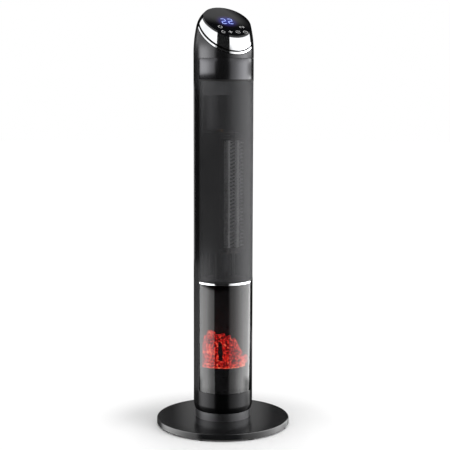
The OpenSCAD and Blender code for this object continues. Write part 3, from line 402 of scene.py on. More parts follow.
finishes = {
    "feet_rubber": moulded("matt_rubber", (0.012, 0.012, 0.012), 0.8, 900),
    "base_gloss": moulded("polished_base", (0.006, 0.006, 0.0065), 0.22, 1800, 0.00001, 0.06),
    "satin_black": lacquered("satin_cover", 0.05, 0.23, 0.003),
    "head_satin": lacquered("head_satin_cover", 0.046, 0.25, 0.002),
    # painted shade: the skirt's lacquer is a darker copy of the cover's
    "foot_satin_painted_shade": lacquered("satin_cover_painted_darker", 0.012, 0.22, 0.0005),
    # painted light: the swivel collar's lacquer is a lighter copy of the cover's
    "collar_satin_painted_light": lacquered("satin_collar_painted_lighter", 0.075, 0.42, 0.003),
    "grille_mesh": moulded("coated_mesh", (0.064, 0.064, 0.067), 0.5, 900, 0.00001, 0.06, Metallic=0.4),
    "mesh_edge": moulded("mesh_edge", (0.012, 0.012, 0.012), 0.5, 900, Specular_IOR_Level=0.2),
    "inner_black": moulded("plain_inner", (0.01, 0.01, 0.01), 0.6),
    "natural_nylon": moulded("undyed_nylon", (0.72, 0.7, 0.63), 0.45),
    "impeller_grey": moulded("filled_grey", (0.05, 0.05, 0.052), 0.55, 700),
    "heat_plastic": moulded("heat_proof_black", (0.012, 0.012, 0.012), 0.6, 800),
}
print(len(finishes), "plastic finishes")

# %% [markdown]
# Metals differ in how they were made: screws and brackets are plated and a little cloudy, ballast is raw
# steel with a dull bloom, fins keep the rolling lines of their strip, and the rings are mirror-bright.
# A stain of noise drives colour and gloss together, as a real stain does.

# %% Metals


def plated(name, colour, roughness, streak=(1, 1, 1), cloud=60, spread=0.12):
    finish = Finish(name, Metallic=1)
    stain = finish.noise(cloud, 3, finish.stretched(streak))
    dull = [c * 0.72 for c in colour]
    finish.put(Base_Color=finish.blend(stain, shade(*dull), shade(*colour)),
               Roughness=stain * spread + (roughness - spread / 2),
               Normal=finish.bump(stain, 0.12, 0.00002))
    return finish.material


finishes.update({
    "ballast": plated("dull_ballast", (0.12, 0.12, 0.13), 0.55, cloud=40),
    "screw_steel": plated("zinc_screw", (0.66, 0.66, 0.69), 0.3, cloud=300),
    "dark_screw": plated("blackened_steel", (0.02, 0.02, 0.022), 0.45, cloud=300),
    "plated_steel": plated("plated_sheet", (0.62, 0.63, 0.66), 0.28, (1, 1, 0.1), 90),
    "bright_chrome": plated("mirror_chrome", (0.9, 0.91, 0.93), 0.045, cloud=30, spread=0.02),
    "sinter_bronze": plated("oiled_bronze", (0.16, 0.11, 0.06), 0.6, cloud=600),
    "heat_stained": plated("heat_stained_steel", (0.1, 0.09, 0.085), 0.5, cloud=300),
    "spring_brass": plated("tinned_spring", (0.7, 0.58, 0.34), 0.3, cloud=300),
})
fins = Finish("rolled_aluminium", Metallic=0.35, Roughness=0.4)
lines = fins.noise(400, 3, fins.stretched((1, 1, 0.05)))
fins.put(Base_Color=fins.blend(lines, shade(0.45, 0.45, 0.47), shade(0.7, 0.7, 0.72)),
         Normal=fins.bump(lines, 0.12, 0.00002))
finishes["fin_aluminium"] = fins.material
finishes["bright_tube"] = moulded("bright_tube", (0.85, 0.85, 0.87), 0.5, 400)
print(len(finishes), "finishes with the metals")

# %% [markdown]
# The last few are special: a smoked acrylic window that passes a little light, a green circuit board with
# faint copper lines under its lacquer, and the unlit display block.

# %% Window, boards and display
smoked = Finish("smoked_acrylic", Transmission_Weight=1, IOR=1.49)
smoked.put(Base_Color=smoked.blend(smoked.noise(5, 1), shade(0.11, 0.11, 0.115), shade(0.13, 0.125, 0.13)),
           Roughness=0.01)
finishes["smoked_window"] = smoked.material

board = Finish("lacquered_board", Coat_Weight=0.4, Coat_Roughness=0.1)
tracks = board.node("ShaderNodeTexBrick", {"offset": 0.5},
                    {"Vector": board.place(), "Scale": 90, "Mortar Size": 0.03}, "Fac")
board.put(Base_Color=board.blend(tracks, shade(0.012, 0.1, 0.04), shade(0.03, 0.2, 0.07)),
          Roughness=board.noise(300, 1) * 0.1 + 0.3)
finishes["board_green"] = board.material

blue_cell = Finish("display_block", Roughness=0.35)
blue_cell.put(Base_Color=blue_cell.blend(blue_cell.noise(200), shade(0.01, 0.02, 0.1),
                                         shade(0.02, 0.05, 0.2)))
finishes["digit_blue"] = blue_cell.material
print(len(finishes), "finishes so far")

# %% [markdown]
# The control lens is glossy black acrylic, printed from behind. Light leaks from the digits into it as a
# blue bloom, which fades with distance along the sloped panel, so its place is worked out on the slope.

# %% The panel's place
panel_slope, lens_t = 35.6, 2.6
panel_tilt = math.radians(panel_slope)
side_rho, side_h, neck_h, dome_rho = 230, 50, 9, 47.7
z_panel, z_arc = z_head + 36, z_head + neck_h
panel_r = tower_r - side_rho + math.sqrt(side_rho ** 2 - (z_panel - z_arc) ** 2)
digits_up = 49.2
on_panel = (Matrix.Translation((0, -panel_r, z_panel)) @ Matrix.Rotation(panel_tilt, 4, "X")
            @ Matrix.Translation((0, 0, lens_t)))
print("panel starts", round(z_panel, 1), "mm up and", round(panel_r, 1), "mm in front of the axis")

# %% The lens and its blue bloom
bloom_at = on_panel @ Vector((-1, digits_up, 0)) * MM
lens = Finish("printed_lens", IOR=1.49, Emission_Strength=1)
offset = lens.node("ShaderNodeVectorMath", {"operation": "SUBTRACT"}, {0: lens.place(), 1: bloom_at})
squeezed = lens.node("ShaderNodeVectorMath", {"operation": "MULTIPLY"}, {0: offset, 1: (1, 1.2, 1.2)})
far_off = lens.node("ShaderNodeVectorMath", {"operation": "LENGTH"}, {0: squeezed}, "Value")
bloom = lens.ramp(far_off * 42, [(0, shade(0.018, 0.03, 0.32)), (0.5, shade(0.014, 0.015, 0.14)),
                                 (0.8, shade(0.008, 0.003, 0.025)), (1, shade(0, 0, 0))])
lens.put(Base_Color=lens.blend(lens.noise(8), shade(0.002, 0.002, 0.0025), shade(0.004, 0.004, 0.005)),
         Roughness=lens.noise(20) * 0.02 + 0.03, Emission_Color=bloom)
finishes["lens_gloss"] = lens.material
print("the bloom starts", [round(c, 4) for c in bloom_at])

# %% [markdown]
# The ember bed is cast in clear orange-red resin and lit from below. Cracks and thin places glow orange,
# crowns are painted dark. A cell pattern gives the cracks, cloud noise the hot and cold places.

# %% Glowing resin
glow = 7
embers = Finish("glowing_resin", Roughness=0.3, Emission_Strength=glow)
swirl = embers.noise(42, 5)
swing = embers.node("ShaderNodeTexNoise", None, {"Vector": embers.place(), "Scale": 90}, 1)
warped = embers.node("ShaderNodeVectorMath", {"operation": "MULTIPLY_ADD"},
                     {0: swing, 1: (0.014, 0.014, 0.014), 2: embers.place()})
crack = embers.node("ShaderNodeTexVoronoi", {"feature": "DISTANCE_TO_EDGE"},
                    {"Vector": warped, "Scale": 260})
crumple = embers.node("ShaderNodeTexVoronoi", None, {"Vector": warped, "Scale": 480})
flecks = embers.noise(300, 3)
above_lamps = embers.node("ShaderNodeMapRange", None,
                          {"Value": embers.along(2), "From Min": low("ember_bed").z * MM,
                           "From Max": low("ember_bed").z * MM + 0.005, "To Min": 0.3, "To Max": 0})
heat = (swirl * 0.8 + flecks * 1.8 + embers.ramp(crack, [(0, shade(1, 1, 1)), (0.12, shade(0, 0, 0))]) * 0.2
        + crumple * 0.4 + above_lamps - 1.05)
embers.put(
    Emission_Color=embers.ramp(heat, [
        (0.3, shade(0.006, 0, 0)), (0.44, shade(0.12, 0.0004, 0.0004)), (0.58, shade(0.42, 0.002, 0.002)),
        (0.7, shade(0.8, 0.007, 0.006)), (0.85, shade(1, 0.07, 0.035)), (0.98, shade(1, 0.45, 0.22))]),
    Base_Color=embers.blend(swirl, shade(0.3, 0.01, 0.005), shade(0.05, 0.006, 0.004)),
    Normal=embers.bump(crumple, 0.6, 0.001))
finishes["ember_resin"] = embers.material
print(len(finishes), "finishes in all")

# %% [markdown]
# Now every imported node puts on the finish of its slot. A few nodes share a slot but not a look: the head
# gets a slightly darker copy of the cover lacquer, the skirt a darker copy as painted shade, the swivel
# collar a lighter copy as painted light, the element tabs heat-stained steel and the heater tubes a pale
# finish.

# %% Dress every imported node
for row in frame["record"]["subparts"]:
    dressed = frame["nodes"][row["node"]]
    dressed.data.materials.clear()
    dressed.data.materials.append(finishes[row["material_slot"]])
# the skirt's darker lacquer is painted shade, the collar's lighter lacquer painted light
for node, finish in (("lower_skirt", "foot_satin_painted_shade"), ("head_shell", "head_satin"),
                     ("swivel_hub", "collar_satin_painted_light"), ("element_tabs", "heat_stained"),
                     ("heater_tubes", "bright_tube")):
    frame["nodes"][node].data.materials[0] = finishes[finish]

# %% [markdown]
# ## Modelling helpers
# Every new piece is drawn in a bmesh in millimetres. Four helpers do the common work: one copies a
# finished part into the piece, one turns a closed section into a ring or an arc, one rounds the sharp
# edges as a mould would, and one hands the piece over with its finish, its slot, the body it rides on and
# the node that it stands for.

# %% Join, turn and round


def as_mesh(part):
    """Turns a bmesh into a loose mesh that can be copied many times."""
    mesh = bpy.data.meshes.new("part")
    part.to_mesh(mesh)
    part.free()
    return mesh


def join(bm, part):
    mesh = as_mesh(part)
    bm.from_mesh(mesh)
    bpy.data.meshes.remove(mesh)


def turned_section(bm, points, start=0.0, angle=360.0, steps=128):
    """A solid of revolution from a closed section of (radius, height); start is measured from the front."""
    part = bmesh.new()
    face = part.faces.new([part.verts.new((r, 0, z)) for r, z in points])
    bmesh.ops.rotate(part, verts=part.verts, cent=(0, 0, 0),
                     matrix=Matrix.Rotation(math.radians(start - 90), 3, "Z"))
    full = angle >= 360
    if full:
        bmesh.ops.delete(part, geom=[face], context="FACES_ONLY")
    bmesh.ops.spin(part, geom=part.verts[:] + part.edges[:] + part.faces[:], cent=(0, 0, 0), axis=(0, 0, 1),
                   angle=math.radians(angle), steps=steps, use_merge=full, use_duplicate=False)
    bmesh.ops.remove_doubles(part, verts=part.verts, dist=0.001)
    join(bm, part)


def rounded(bm, width, segments=2, sharp=40.0):
    """Bevels the edges that turn by more than the given angle."""
    edges = [e for e in bm.edges if e.is_manifold and e.calc_face_angle(0) > math.radians(sharp)]
    bmesh.ops.bevel(bm, geom=edges, offset=width, offset_type="OFFSET", affect="EDGES", segments=segments,
                    profile=0.5, material=-1, clamp_overlap=True)


print("parts can be joined, turned and rounded")

# %% Hand over


def hand_over(bm, name, body, slot, stands_for=(), sharp=50.0):
    """Makes the finished piece; edges that turn by more than sharp degrees are shaded as edges."""
    bmesh.ops.remove_doubles(bm, verts=bm.verts, dist=0.0005)
    bmesh.ops.recalc_face_normals(bm, faces=bm.faces)
    bmesh.ops.scale(bm, verts=bm.verts, vec=(MM, MM, MM))
    for face in bm.faces:
        face.smooth = True
    for edge in bm.edges:
        edge.smooth = edge.is_manifold and edge.calc_face_angle(0) < math.radians(sharp)
    mesh = bpy.data.meshes.new(name)
    bm.to_mesh(mesh)
    bm.free()
    piece = bpy.data.objects.new(name, mesh)
    bpy.context.scene.collection.objects.link(piece)
    mesh.materials.append(finishes[slot])
    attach(piece, body)
    if stands_for:
        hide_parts(*stands_for)
    print(name, "has", sum(len(p.vertices) - 2 for p in mesh.polygons), "triangles")
    return piece


print("pieces can be handed over")

# %% [markdown]
# ## Covers with softened edges
# The window, the bright trim and the plain band are curved sheets whose edges were rounded in the mould.
# Those edges catch thin lines of light, so each sheet is turned again from its section and bevelled.

# %% Window, trim and band
front_half = 80 - math.degrees(math.asin(0.4 / tower_r))


def curved_sheet(bm, outer_r, z0, z1, start, angle, steps):
    """A piece of the tower's wall between two heights and two angles."""
    turned_section(bm, [(tower_r - wall, z0), (outer_r, z0), (outer_r, z1), (tower_r - wall, z1)],
                   start, angle, steps)


def cover(name, slot, node, proud=0.0, round_by=0.5):
    bm = bmesh.new()
    curved_sheet(bm, tower_r + proud, low(node).z, high(node).z, -front_half, 2 * front_half, 64)
    bmesh.ops.recalc_face_normals(bm, faces=bm.faces)
    rounded(bm, round_by)
    return hand_over(bm, name, "tower", slot, (node,), 25)


cover("smoked_window", "smoked_window", "window", round_by=0.4)
cover("trim_line", "bright_chrome", "chrome_trim", proud=0.2, round_by=0.5)
cover("plain_band", "satin_black", "front_band", round_by=0.6)

# %% [markdown]
# ## Front mesh
# The real grille is a metal cloth with holes of about a millimetre, welded into a plain frame. Flattened
# upright wires lie in front and bent cross wires behind. Each wire has very few faces, because there are
# hundreds of them, and one of its faces looks straight out, so that the cloth mirrors the cards as one.

# %% The frame
frame_bm = bmesh.new()
border, sink = 3, 0.3
z_low, z_high = z_grille, high("front_grille").z
side_a = math.degrees(border / tower_r)
for z0 in (z_low, z_high - border):
    curved_sheet(frame_bm, tower_r, z0, z0 + border, -front_half, 2 * front_half, 48)
lap = 0.01
for start in (-front_half, front_half - side_a):
    curved_sheet(frame_bm, tower_r, z_low + border - lap, z_high - border + lap, start, side_a, 3)
mesh_frame = hand_over(frame_bm, "mesh_frame", "tower", "grille_mesh", (), 50)
mesh_frame.data.materials[0] = finishes["mesh_edge"]

# %% The wires
mesh_bm = bmesh.new()
wire_r, upright_n, cross_pitch = 0.31, 96, 1.7
open_half = front_half - side_a
upright = bmesh.new()
bmesh.ops.create_cone(upright, cap_ends=True, segments=4, radius1=wire_r * 1.3, radius2=wire_r * 1.3,
                      depth=z_high - z_low - 2 * border + 1,
                      matrix=Matrix.Translation((tower_r - sink - wire_r, 0, (z_low + z_high) / 2))
                      @ Matrix.Rotation(math.radians(45), 4, "Z"))
bmesh.ops.rotate(upright, verts=upright.verts, cent=(0, 0, 0),
                 matrix=Matrix.Rotation(math.radians(-90 - open_half * (1 + 1 / upright_n)), 3, "Z"))
upright = as_mesh(upright)
for _ in range(upright_n):
    upright.transform(Matrix.Rotation(math.radians(2 * open_half / upright_n), 4, "Z"))
    mesh_bm.from_mesh(upright)
cross_r = tower_r - sink - 3 * wire_r
cross_n = int((z_high - z_low - 2 * border) / cross_pitch)
cross_step = (z_high - z_low - 2 * border) / cross_n
cross = bmesh.new()
turned_section(cross, [(cross_r - wire_r, -wire_r), (cross_r + wire_r, -wire_r * 0.6),
                       (cross_r + wire_r, wire_r * 0.6), (cross_r - wire_r, wire_r)],
               -open_half - 0.4, 2 * open_half + 0.8, 24)
cross = as_mesh(cross)
cross.transform(Matrix.Translation((0, 0, z_low + border - cross_step / 2)))
for _ in range(cross_n):
    cross.transform(Matrix.Translation((0, 0, cross_step)))
    mesh_bm.from_mesh(cross)
hand_over(mesh_bm, "woven_front", "tower", "grille_mesh", ("front_grille",), 50)

# %% [markdown]
# ## Dust screen
# Behind the intake slots such heaters carry a fine black gauze, which keeps lint off the fan. It is woven
# like the front mesh, only finer, and lies flat against the inside of the back cover.

# %% Weave the gauze
gauze_bm = bmesh.new()
gauze_r, thread_r = tower_r - wall - 0.3, 0.3
gauze_half, gauze_low, gauze_high = 52, 338, 560
gauze_n, gauze_rows = 112, 230
thread = bmesh.new()
bmesh.ops.create_cone(thread, cap_ends=True, segments=4, radius1=thread_r, radius2=thread_r,
                      depth=gauze_high - gauze_low,
                      matrix=Matrix.Rotation(math.radians(90 - gauze_half), 4, "Z")
                      @ Matrix.Translation((gauze_r, 0, (gauze_low + gauze_high) / 2)))
thread = as_mesh(thread)
for _ in range(gauze_n + 1):
    gauze_bm.from_mesh(thread)
    thread.transform(Matrix.Rotation(math.radians(2 * gauze_half / gauze_n), 4, "Z"))
thread = bmesh.new()
turned_section(thread, [(gauze_r - thread_r, gauze_low), (gauze_r, gauze_low - thread_r),
                        (gauze_r + thread_r, gauze_low), (gauze_r, gauze_low + thread_r)],
               180 - gauze_half, 2 * gauze_half, 20)
thread = as_mesh(thread)
for _ in range(gauze_rows + 1):
    gauze_bm.from_mesh(thread)
    thread.transform(Matrix.Translation((0, 0, (gauze_high - gauze_low) / gauze_rows)))
hand_over(gauze_bm, "dust_screen", "tower", "inner_black", (), 50)

# %% [markdown]
# ## Base disc
# The disc's top is polished and its rim stands upright, with a soft upper edge that runs as a bright line
# round the foot. One closed section, turned once, gives the shell with its wall.

# %% Turn the base cover
base_r, z_plate, z_rim, z_seat, base_wall, edge_r = 126.5, 3, 14, 16, 2.5, 2.5
collar_r, post_r, lip = 54, 14, 0.5
edge = [(base_r - edge_r + edge_r * math.cos(a), z_rim - edge_r + edge_r * math.sin(a))
        for a in (math.radians(15 * k) for k in range(7))]
base_bm = bmesh.new()
rim = [(base_r - base_wall, z_plate), (base_r - lip, z_plate), (base_r, z_plate + lip)]
top = [(100, z_rim + 0.7), (collar_r, z_seat), (post_r, z_seat)]
inside = [(post_r, z_seat - base_wall), (collar_r, z_seat - base_wall),
          (base_r - base_wall - 1, z_rim - base_wall)]
turned_section(base_bm, rim + edge + top + inside, steps=192)
hand_over(base_bm, "base_disc", "base", "base_gloss", ("base_cover",), 40)

# %% [markdown]
# ## Head
# The head is a gently bowed barrel under a dome, sliced by three slopes. Its chromed rings and its lens are
# made as that story tells: turn the outline, cut it with planes, give it a wall, round its edges.

# %% The head's outline
side_end = math.asin(side_h / side_rho)
shoulder_r = tower_r - side_rho * (1 - math.cos(side_end))
dome_x = shoulder_r - dome_rho * math.cos(side_end)
dome_z = z_arc + side_h - dome_rho * math.sin(side_end)


def head_outline(inset=0.0):
    rho = side_rho - inset
    barrel = [(tower_r - side_rho + rho * math.cos(a), z_arc + rho * math.sin(a))
              for a in (side_end * k / 14 for k in range(15))]
    rho = dome_rho - inset
    dome = [(dome_x + rho * math.cos(a), dome_z + rho * math.sin(a))
            for a in (side_end + (math.pi / 2 - side_end) * k / 24 for k in range(1, 25))]
    return [(tower_r - inset, z_head)] + barrel + dome


def head_surface(bm, inset=0.0, steps=160):
    """The head's outside, open at its foot and at its crown."""
    verts = [bm.verts.new((r, 0, z)) for r, z in head_outline(inset)]
    edges = [bm.edges.new(pair) for pair in zip(verts, verts[1:])]
    bmesh.ops.spin(bm, geom=verts + edges, cent=(0, 0, 0), axis=(0, 0, 1), angle=math.tau, steps=steps,
                   use_merge=True, use_duplicate=False)
    bmesh.ops.remove_doubles(bm, verts=bm.verts, dist=0.001)
    bmesh.ops.recalc_face_normals(bm, faces=bm.faces)


def slope_cut(bm, z, tilt, keep_below):
    """Cuts with a plane that rises to the back, from height z at the panel's front edge."""
    tilt = math.radians(tilt)
    bmesh.ops.bisect_plane(bm, geom=bm.verts[:] + bm.edges[:] + bm.faces[:], dist=0.0001,
                           plane_co=(0, -panel_r, z), plane_no=(0, -math.sin(tilt), math.cos(tilt)),
                           clear_outer=keep_below, clear_inner=not keep_below)


print("dome centre", round(dome_x, 1), round(dome_z, 1))

# %% The two bright rings
wide_slope, thin_slope = 41.5, 40
wide_h, ring_gap, thin_h = 21.7, 2.1, 4
z_wide = z_panel - wide_h
z_thin_top = z_wide - ring_gap
z_thin = z_thin_top - thin_h
for name, node, upper, lower in (
        ("wide_bright_ring", "wide_ring", (z_panel, panel_slope), (z_wide + 0.5, wide_slope)),
        ("thin_bright_ring", "thin_ring", (z_thin_top - 0.2, thin_slope), (z_thin, thin_slope))):
    ring_bm = bmesh.new()
    head_surface(ring_bm)
    slope_cut(ring_bm, *upper, True)
    slope_cut(ring_bm, *lower, False)
    bmesh.ops.solidify(ring_bm, geom=ring_bm.faces[:], thickness=1.75)
    bmesh.ops.recalc_face_normals(ring_bm, faces=ring_bm.faces)
    rounded(ring_bm, 0.35, 2, 60)
    hand_over(ring_bm, name, "tower", "bright_chrome", (node,), 14)

# %% [markdown]
# The thin ring lies in a groove, whose shadow is a black line above it and another below. Such a line is
# about one pixel wide in the picture, so that shadow is painted as a strip of dead black, a hair proud.

# %% Painted shadow lines above and below the thin ring
# painted shadow: a dead black strip stands for the groove's shade above and below the thin ring
groove_shadow_paint = Finish("painted_groove_shadow", Specular_IOR_Level=0)
groove_shadow_paint.put(Base_Color=groove_shadow_paint.blend(groove_shadow_paint.noise(300), shade(0.001, 0.001, 0.001),
                                           shade(0.003, 0.003, 0.003)), Roughness=0.7)
finishes["painted_groove_shadow"] = groove_shadow_paint.material
proud = 0.06
lines_bm = bmesh.new()
for upper, lower in (((z_wide + 0.6, wide_slope), (z_thin_top - 0.3, thin_slope)),
                     ((z_thin + 0.1, thin_slope), (z_thin - 1.3, thin_slope))):
    line_bm = bmesh.new()
    head_surface(line_bm, -proud)
    slope_cut(line_bm, *upper, True)
    slope_cut(line_bm, *lower, False)
    bmesh.ops.solidify(line_bm, geom=line_bm.faces[:], thickness=0.3)
    join(lines_bm, line_bm)
groove_shadow_lines = hand_over(lines_bm, "ring_groove_shadows", "tower", "satin_black", (), 60)
groove_shadow_lines.data.materials[0] = groove_shadow_paint.material

# %% [markdown]
# The lens is the slice of the same outline between the panel's plane and one a lens thickness higher. Both
# cuts are filled and the edge is rounded generously, as moulded acrylic is.

# %% The control lens
lens_bm = bmesh.new()
head_surface(lens_bm)
slope_cut(lens_bm, z_panel, panel_slope, False)
slope_cut(lens_bm, z_panel + lens_t / math.cos(panel_tilt), panel_slope, True)
bmesh.ops.holes_fill(lens_bm, edges=[e for e in lens_bm.edges if e.is_boundary], sides=0)
bmesh.ops.recalc_face_normals(lens_bm, faces=lens_bm.faces)
rounded(lens_bm, 1.8, 4, 30)
hand_over(lens_bm, "control_panel_lens", "tower", "lens_gloss", ("control_lens",), 30)

# %% [markdown]
# ## Lit digits and key marks
# The display shines through the lens as two seven-part digits. The keys are printed marks, given a faint
# painted glow. Both are thin inlays that stand a few hundredths of a millimetre proud of the lens.

# %% Digits
digit_light = Finish("lit_digit", Base_Color=shade(0.02, 0.05, 0.3), Roughness=0.4, Emission_Strength=1.15)
digit_light.put(Emission_Color=digit_light.ramp(digit_light.noise(400), [(0.3, shade(0.3, 0.4, 1)),
                                                                        (0.7, shade(0.6, 0.7, 1))]))
finishes["digit_light"] = digit_light.material
inlay = 0.06
bar_w, bar_gap, digit_w, digit_h = 1.8, 0.6, 8.2, 15.5


def digit_bar(bm, middle, length, upright):
    """A bar with pointed ends: a hexagon whose two halves are moved apart."""
    made = bmesh.ops.create_circle(bm, cap_ends=True, segments=6, radius=bar_w / 2)["verts"]
    for side in (-1, 1):
        bmesh.ops.translate(bm, verts=[v for v in made if v.co.x * side > 0.01],
                            vec=(side * (length - bar_w) / 2, 0, 0))
    turn = Matrix.Rotation(math.radians(90 if upright else 0), 4, "Z")
    bmesh.ops.transform(bm, matrix=Matrix.Translation((*middle, 0)) @ turn, verts=made)


def onto_panel(bm):
    """Thickens a flat drawing and lays it on the lens."""
    bmesh.ops.solidify(bm, geom=bm.faces[:], thickness=-inlay)
    bmesh.ops.transform(bm, matrix=on_panel, verts=bm.verts)


digits_bm = bmesh.new()
for left in (-11.8, 1.6):
    mid, up = left + digit_w / 2, digits_up
    for y in (-digit_h / 2, 0, digit_h / 2):
        digit_bar(digits_bm, (mid, up + y), digit_w - bar_gap, False)
    digit_bar(digits_bm, (left + digit_w, up + digit_h / 4), digit_h / 2 - bar_gap, True)
    digit_bar(digits_bm, (left, up - digit_h / 4), digit_h / 2 - bar_gap, True)
onto_panel(digits_bm)
digits = hand_over(digits_bm, "lit_digits", "tower", "digit_blue")
digits.data.materials[0] = digit_light.material

# %% [markdown]
# The key marks are plain strokes, either straight or bent. Two helpers draw them flat, and the strokes are
# then laid out as on the printer's film, in millimetres from the panel's front edge.

# %% Paint and strokes
# the marks are printed; the faint emission on the print is a painted glow
mark_paint_with_glow = Finish("key_print_with_painted_glow", Roughness=0.5, Emission_Strength=0.12)
mark_paint_with_glow.put(Base_Color=mark_paint_with_glow.blend(mark_paint_with_glow.noise(500), shade(*[0.35] * 3), shade(*[0.45] * 3)),
               Emission_Color=mark_paint_with_glow.blend(mark_paint_with_glow.noise(300), shade(*[0.5] * 3), shade(*[0.8] * 3)))
line_w = 1.0


def bar_mark(bm, start, end, width=line_w):
    start, end = Vector((*start, 0)), Vector((*end, 0))
    run = end - start
    bmesh.ops.create_grid(bm, x_segments=1, y_segments=1, size=0.5,
                          matrix=Matrix.Translation((start + end) / 2)
                          @ Matrix.Rotation(math.atan2(run.y, run.x), 4, "Z")
                          @ Matrix.Diagonal((run.length, width, 1, 1)))


def arc_mark(bm, centre, radius, start, sweep, width=line_w):
    edge_verts = [bm.verts.new((centre[0] + r, centre[1], 0))
                  for r in (radius - width / 2, radius + width / 2)]
    edge = bm.edges.new(edge_verts)
    bmesh.ops.rotate(bm, verts=edge_verts, cent=(*centre, 0),
                     matrix=Matrix.Rotation(math.radians(start), 3, "Z"))
    bmesh.ops.spin(bm, geom=edge_verts + [edge], cent=(*centre, 0), axis=(0, 0, 1),
                   angle=math.radians(sweep), steps=max(4, int(abs(sweep) / 20)),
                   use_merge=abs(sweep) >= 360, use_duplicate=False)


print("strokes are", line_w, "mm wide")

# %% Key marks
marks_bm = bmesh.new()
x, y = -22, 31  # power
arc_mark(marks_bm, (x, y), 3.8, 120, 300)
bar_mark(marks_bm, (x, y + 1), (x, y + 4.8))
x, y = 22, 31  # swing left and right
bar_mark(marks_bm, (x - 4.6, y), (x + 4.6, y))
for side in (-1, 1):
    for lift in (-2.6, 2.6):
        bar_mark(marks_bm, (x + side * 5, y), (x + side * 2.2, y + lift))
x, y = -22, 15  # ember light
arc_mark(marks_bm, (x, y - 0.6), 3.2, 150, 240)
bar_mark(marks_bm, (x - 2.7, y + 0.8), (x, y + 4.8))
bar_mark(marks_bm, (x + 2.7, y + 0.8), (x, y + 4.8))
x = -7.35  # warmer
bar_mark(marks_bm, (x - 4, y), (x + 4, y), 1.3)
bar_mark(marks_bm, (x, y - 4), (x, y + 4), 1.3)
x = 7.9  # cooler
bar_mark(marks_bm, (x - 3, y), (x + 3, y), 1.3)
arc_mark(marks_bm, (x, y), 4.3, 0, 360, 0.6)
x = 23  # timer
arc_mark(marks_bm, (x, y), 4, 0, 360)
bar_mark(marks_bm, (x, y), (x, y + 2.4), 0.7)
bar_mark(marks_bm, (x, y), (x + 1.9, y), 0.7)
onto_panel(marks_bm)
marks = hand_over(marks_bm, "key_marks", "tower", "lens_gloss")
marks.data.materials[0] = mark_paint_with_glow.material

# %% [markdown]
# ## Marks of the power switch
# The rocker at the back carries the two plain signs for on and off, printed like the keys with the same faint
# painted glow. A ray from behind finds the rocker's tilted face, so each sign lies flat on it and turns with
# it.

# %% On and off
rocker_bm = bmesh.new()
rocker_bm.from_mesh(frame["nodes"]["switch_rocker"].data)
rocker_faces = BVHTree.FromBMesh(rocker_bm)
rocker_bm.free()
z_rocker = (low("switch_rocker").z + high("switch_rocker").z) / 2
sign_lift, far_behind = 4.2, 100
signs_bm = bmesh.new()
for lift in (sign_lift, -sign_lift):
    sign_bm = bmesh.new()
    if lift > 0:
        bar_mark(sign_bm, (0, -1.7), (0, 1.7), 0.7)
    else:
        arc_mark(sign_bm, (0, 0), 1.5, 0, 360, 0.6)
    place, normal = rocker_faces.ray_cast(Vector((0, far_behind, z_rocker + lift)) * MM, (0, -1, 0))[:2]
    bmesh.ops.solidify(sign_bm, geom=sign_bm.faces[:], thickness=-inlay)
    bmesh.ops.transform(sign_bm, verts=sign_bm.verts, matrix=Matrix.Translation(place / MM)
                        @ normal.to_track_quat("Z", "Y").to_matrix().to_4x4())
    join(signs_bm, sign_bm)
signs = hand_over(signs_bm, "switch_signs", "rocker", "inner_black")
signs.data.materials[0] = mark_paint_with_glow.material

# %% [markdown]
# ## Ember bed
# The maker sculpts a heap of split logs over coals, then casts it in resin. Here each log is a tapered
# cylinder cut into many rings, and noise crumples it as bark is. The logs are placed as the photograph
# shows them: how far to the right of the tower's axis, how far towards the viewer, and how high above the
# tray. They leave a dark gap near the middle, under a log that lies across.

# %% One log, one coal
z_ember = low("ember_bed").z
ember_bm = bmesh.new()


def spot(across, towards, height):
    """A place in the heap, as the camera sees it."""
    turn = Matrix.Rotation(-shot_turn, 3, "Z")
    return turn @ Vector((across, -towards, 0)) + Vector((0, 0, z_ember + height))


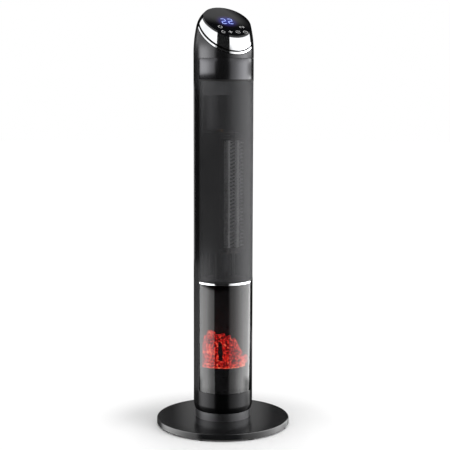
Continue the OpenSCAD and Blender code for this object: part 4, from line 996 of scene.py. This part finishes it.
def log(start, end, r0, r1):
    start, end = spot(*start), spot(*end)
    run = end - start
    stick = bmesh.new()
    bmesh.ops.create_cone(stick, cap_ends=True, segments=28, radius1=r0, radius2=r1, depth=run.length)
    caps = [f for f in stick.faces if len(f.verts) > 4]
    lengthwise = [e for e in stick.edges if abs(e.verts[0].co.z - e.verts[1].co.z) > 1]
    bmesh.ops.subdivide_edges(stick, edges=lengthwise, cuts=int(run.length / 2), use_grid_fill=True)
    for shrink in (0.25, 0.33, 0.5):
        bmesh.ops.inset_individual(stick, faces=caps, thickness=shrink * r1 * 0.7, depth=1.2 * shrink)
    bmesh.ops.transform(stick, matrix=Matrix.Translation((start + end) / 2)
                        @ run.to_track_quat("Z", "Y").to_matrix().to_4x4(), verts=stick.verts)
    join(ember_bm, stick)


def coal(place, radius):
    flattened = Matrix.Diagonal((1, 1, 0.75, 1))
    pebble = bmesh.new()
    bmesh.ops.create_icosphere(pebble, subdivisions=4, radius=radius,
                               matrix=Matrix.Translation(spot(*place)) @ flattened)
    join(ember_bm, pebble)


print("the heap starts", round(z_ember, 1), "mm up")

# %% Lay the heap
log((-27, 12, 4), (-23.5, 8, 61), 14, 6.5)
log((-38, 14, 5), (-29, 11, 53), 9, 6.5)
log((-18, 24, 4), (-17, 15, 52), 8, 8)
log((-28, 14, 48), (4, 18, 53), 8, 7)
log((9, 25, 4), (7, 16, 50), 8.5, 8)
log((4, 15, 50), (28, 17, 14), 10, 9)
log((-32, 27, 6), (26, 30, 4), 6.5, 6.5)
log((17, 28, 3), (21, 20, 26), 8, 6)
log((15, 17, 46), (32, 18, 22), 8.5, 6)
for place, radius in (((39, 10, 11), 8), ((34, 17, 4), 7), ((43, 6, 15), 5), ((-40, 14, 6), 8),
                      ((-22, 34, 4), 7), ((-10, 38, 3), 6.5), ((2, 40, 3), 6.5), ((13, 38, 3), 7),
                      ((24, 34, 4), 7), ((-34, 26, 3), 7), ((-42, 10, 22), 5)):
    coal(place, radius)
print("the heap has", len(ember_bm.verts), "points")

# %% Crumple the heap and keep it inside its space
heap_r, screen_y, screen_slope = 46.5, 0.4, 0.6
noise.seed_set(1)  # the same heap on every run
for v in ember_bm.verts:
    v.co += (noise.noise_vector(v.co * 0.09) * 2.4 + noise.noise_vector(v.co * 0.3) * 1.5
             + noise.noise_vector(v.co * 0.8) * 0.5)
    reach = math.hypot(v.co.x, v.co.y)
    if reach > heap_r:
        v.co.x *= heap_r / reach
        v.co.y *= heap_r / reach
    v.co.y = min(v.co.y, screen_y + screen_slope * (heap_r - abs(v.co.x)))
    v.co.z = max(v.co.z, z_ember + 0.2)
hand_over(ember_bm, "ember_heap", "tower", "ember_resin", ("ember_bed",), 80)
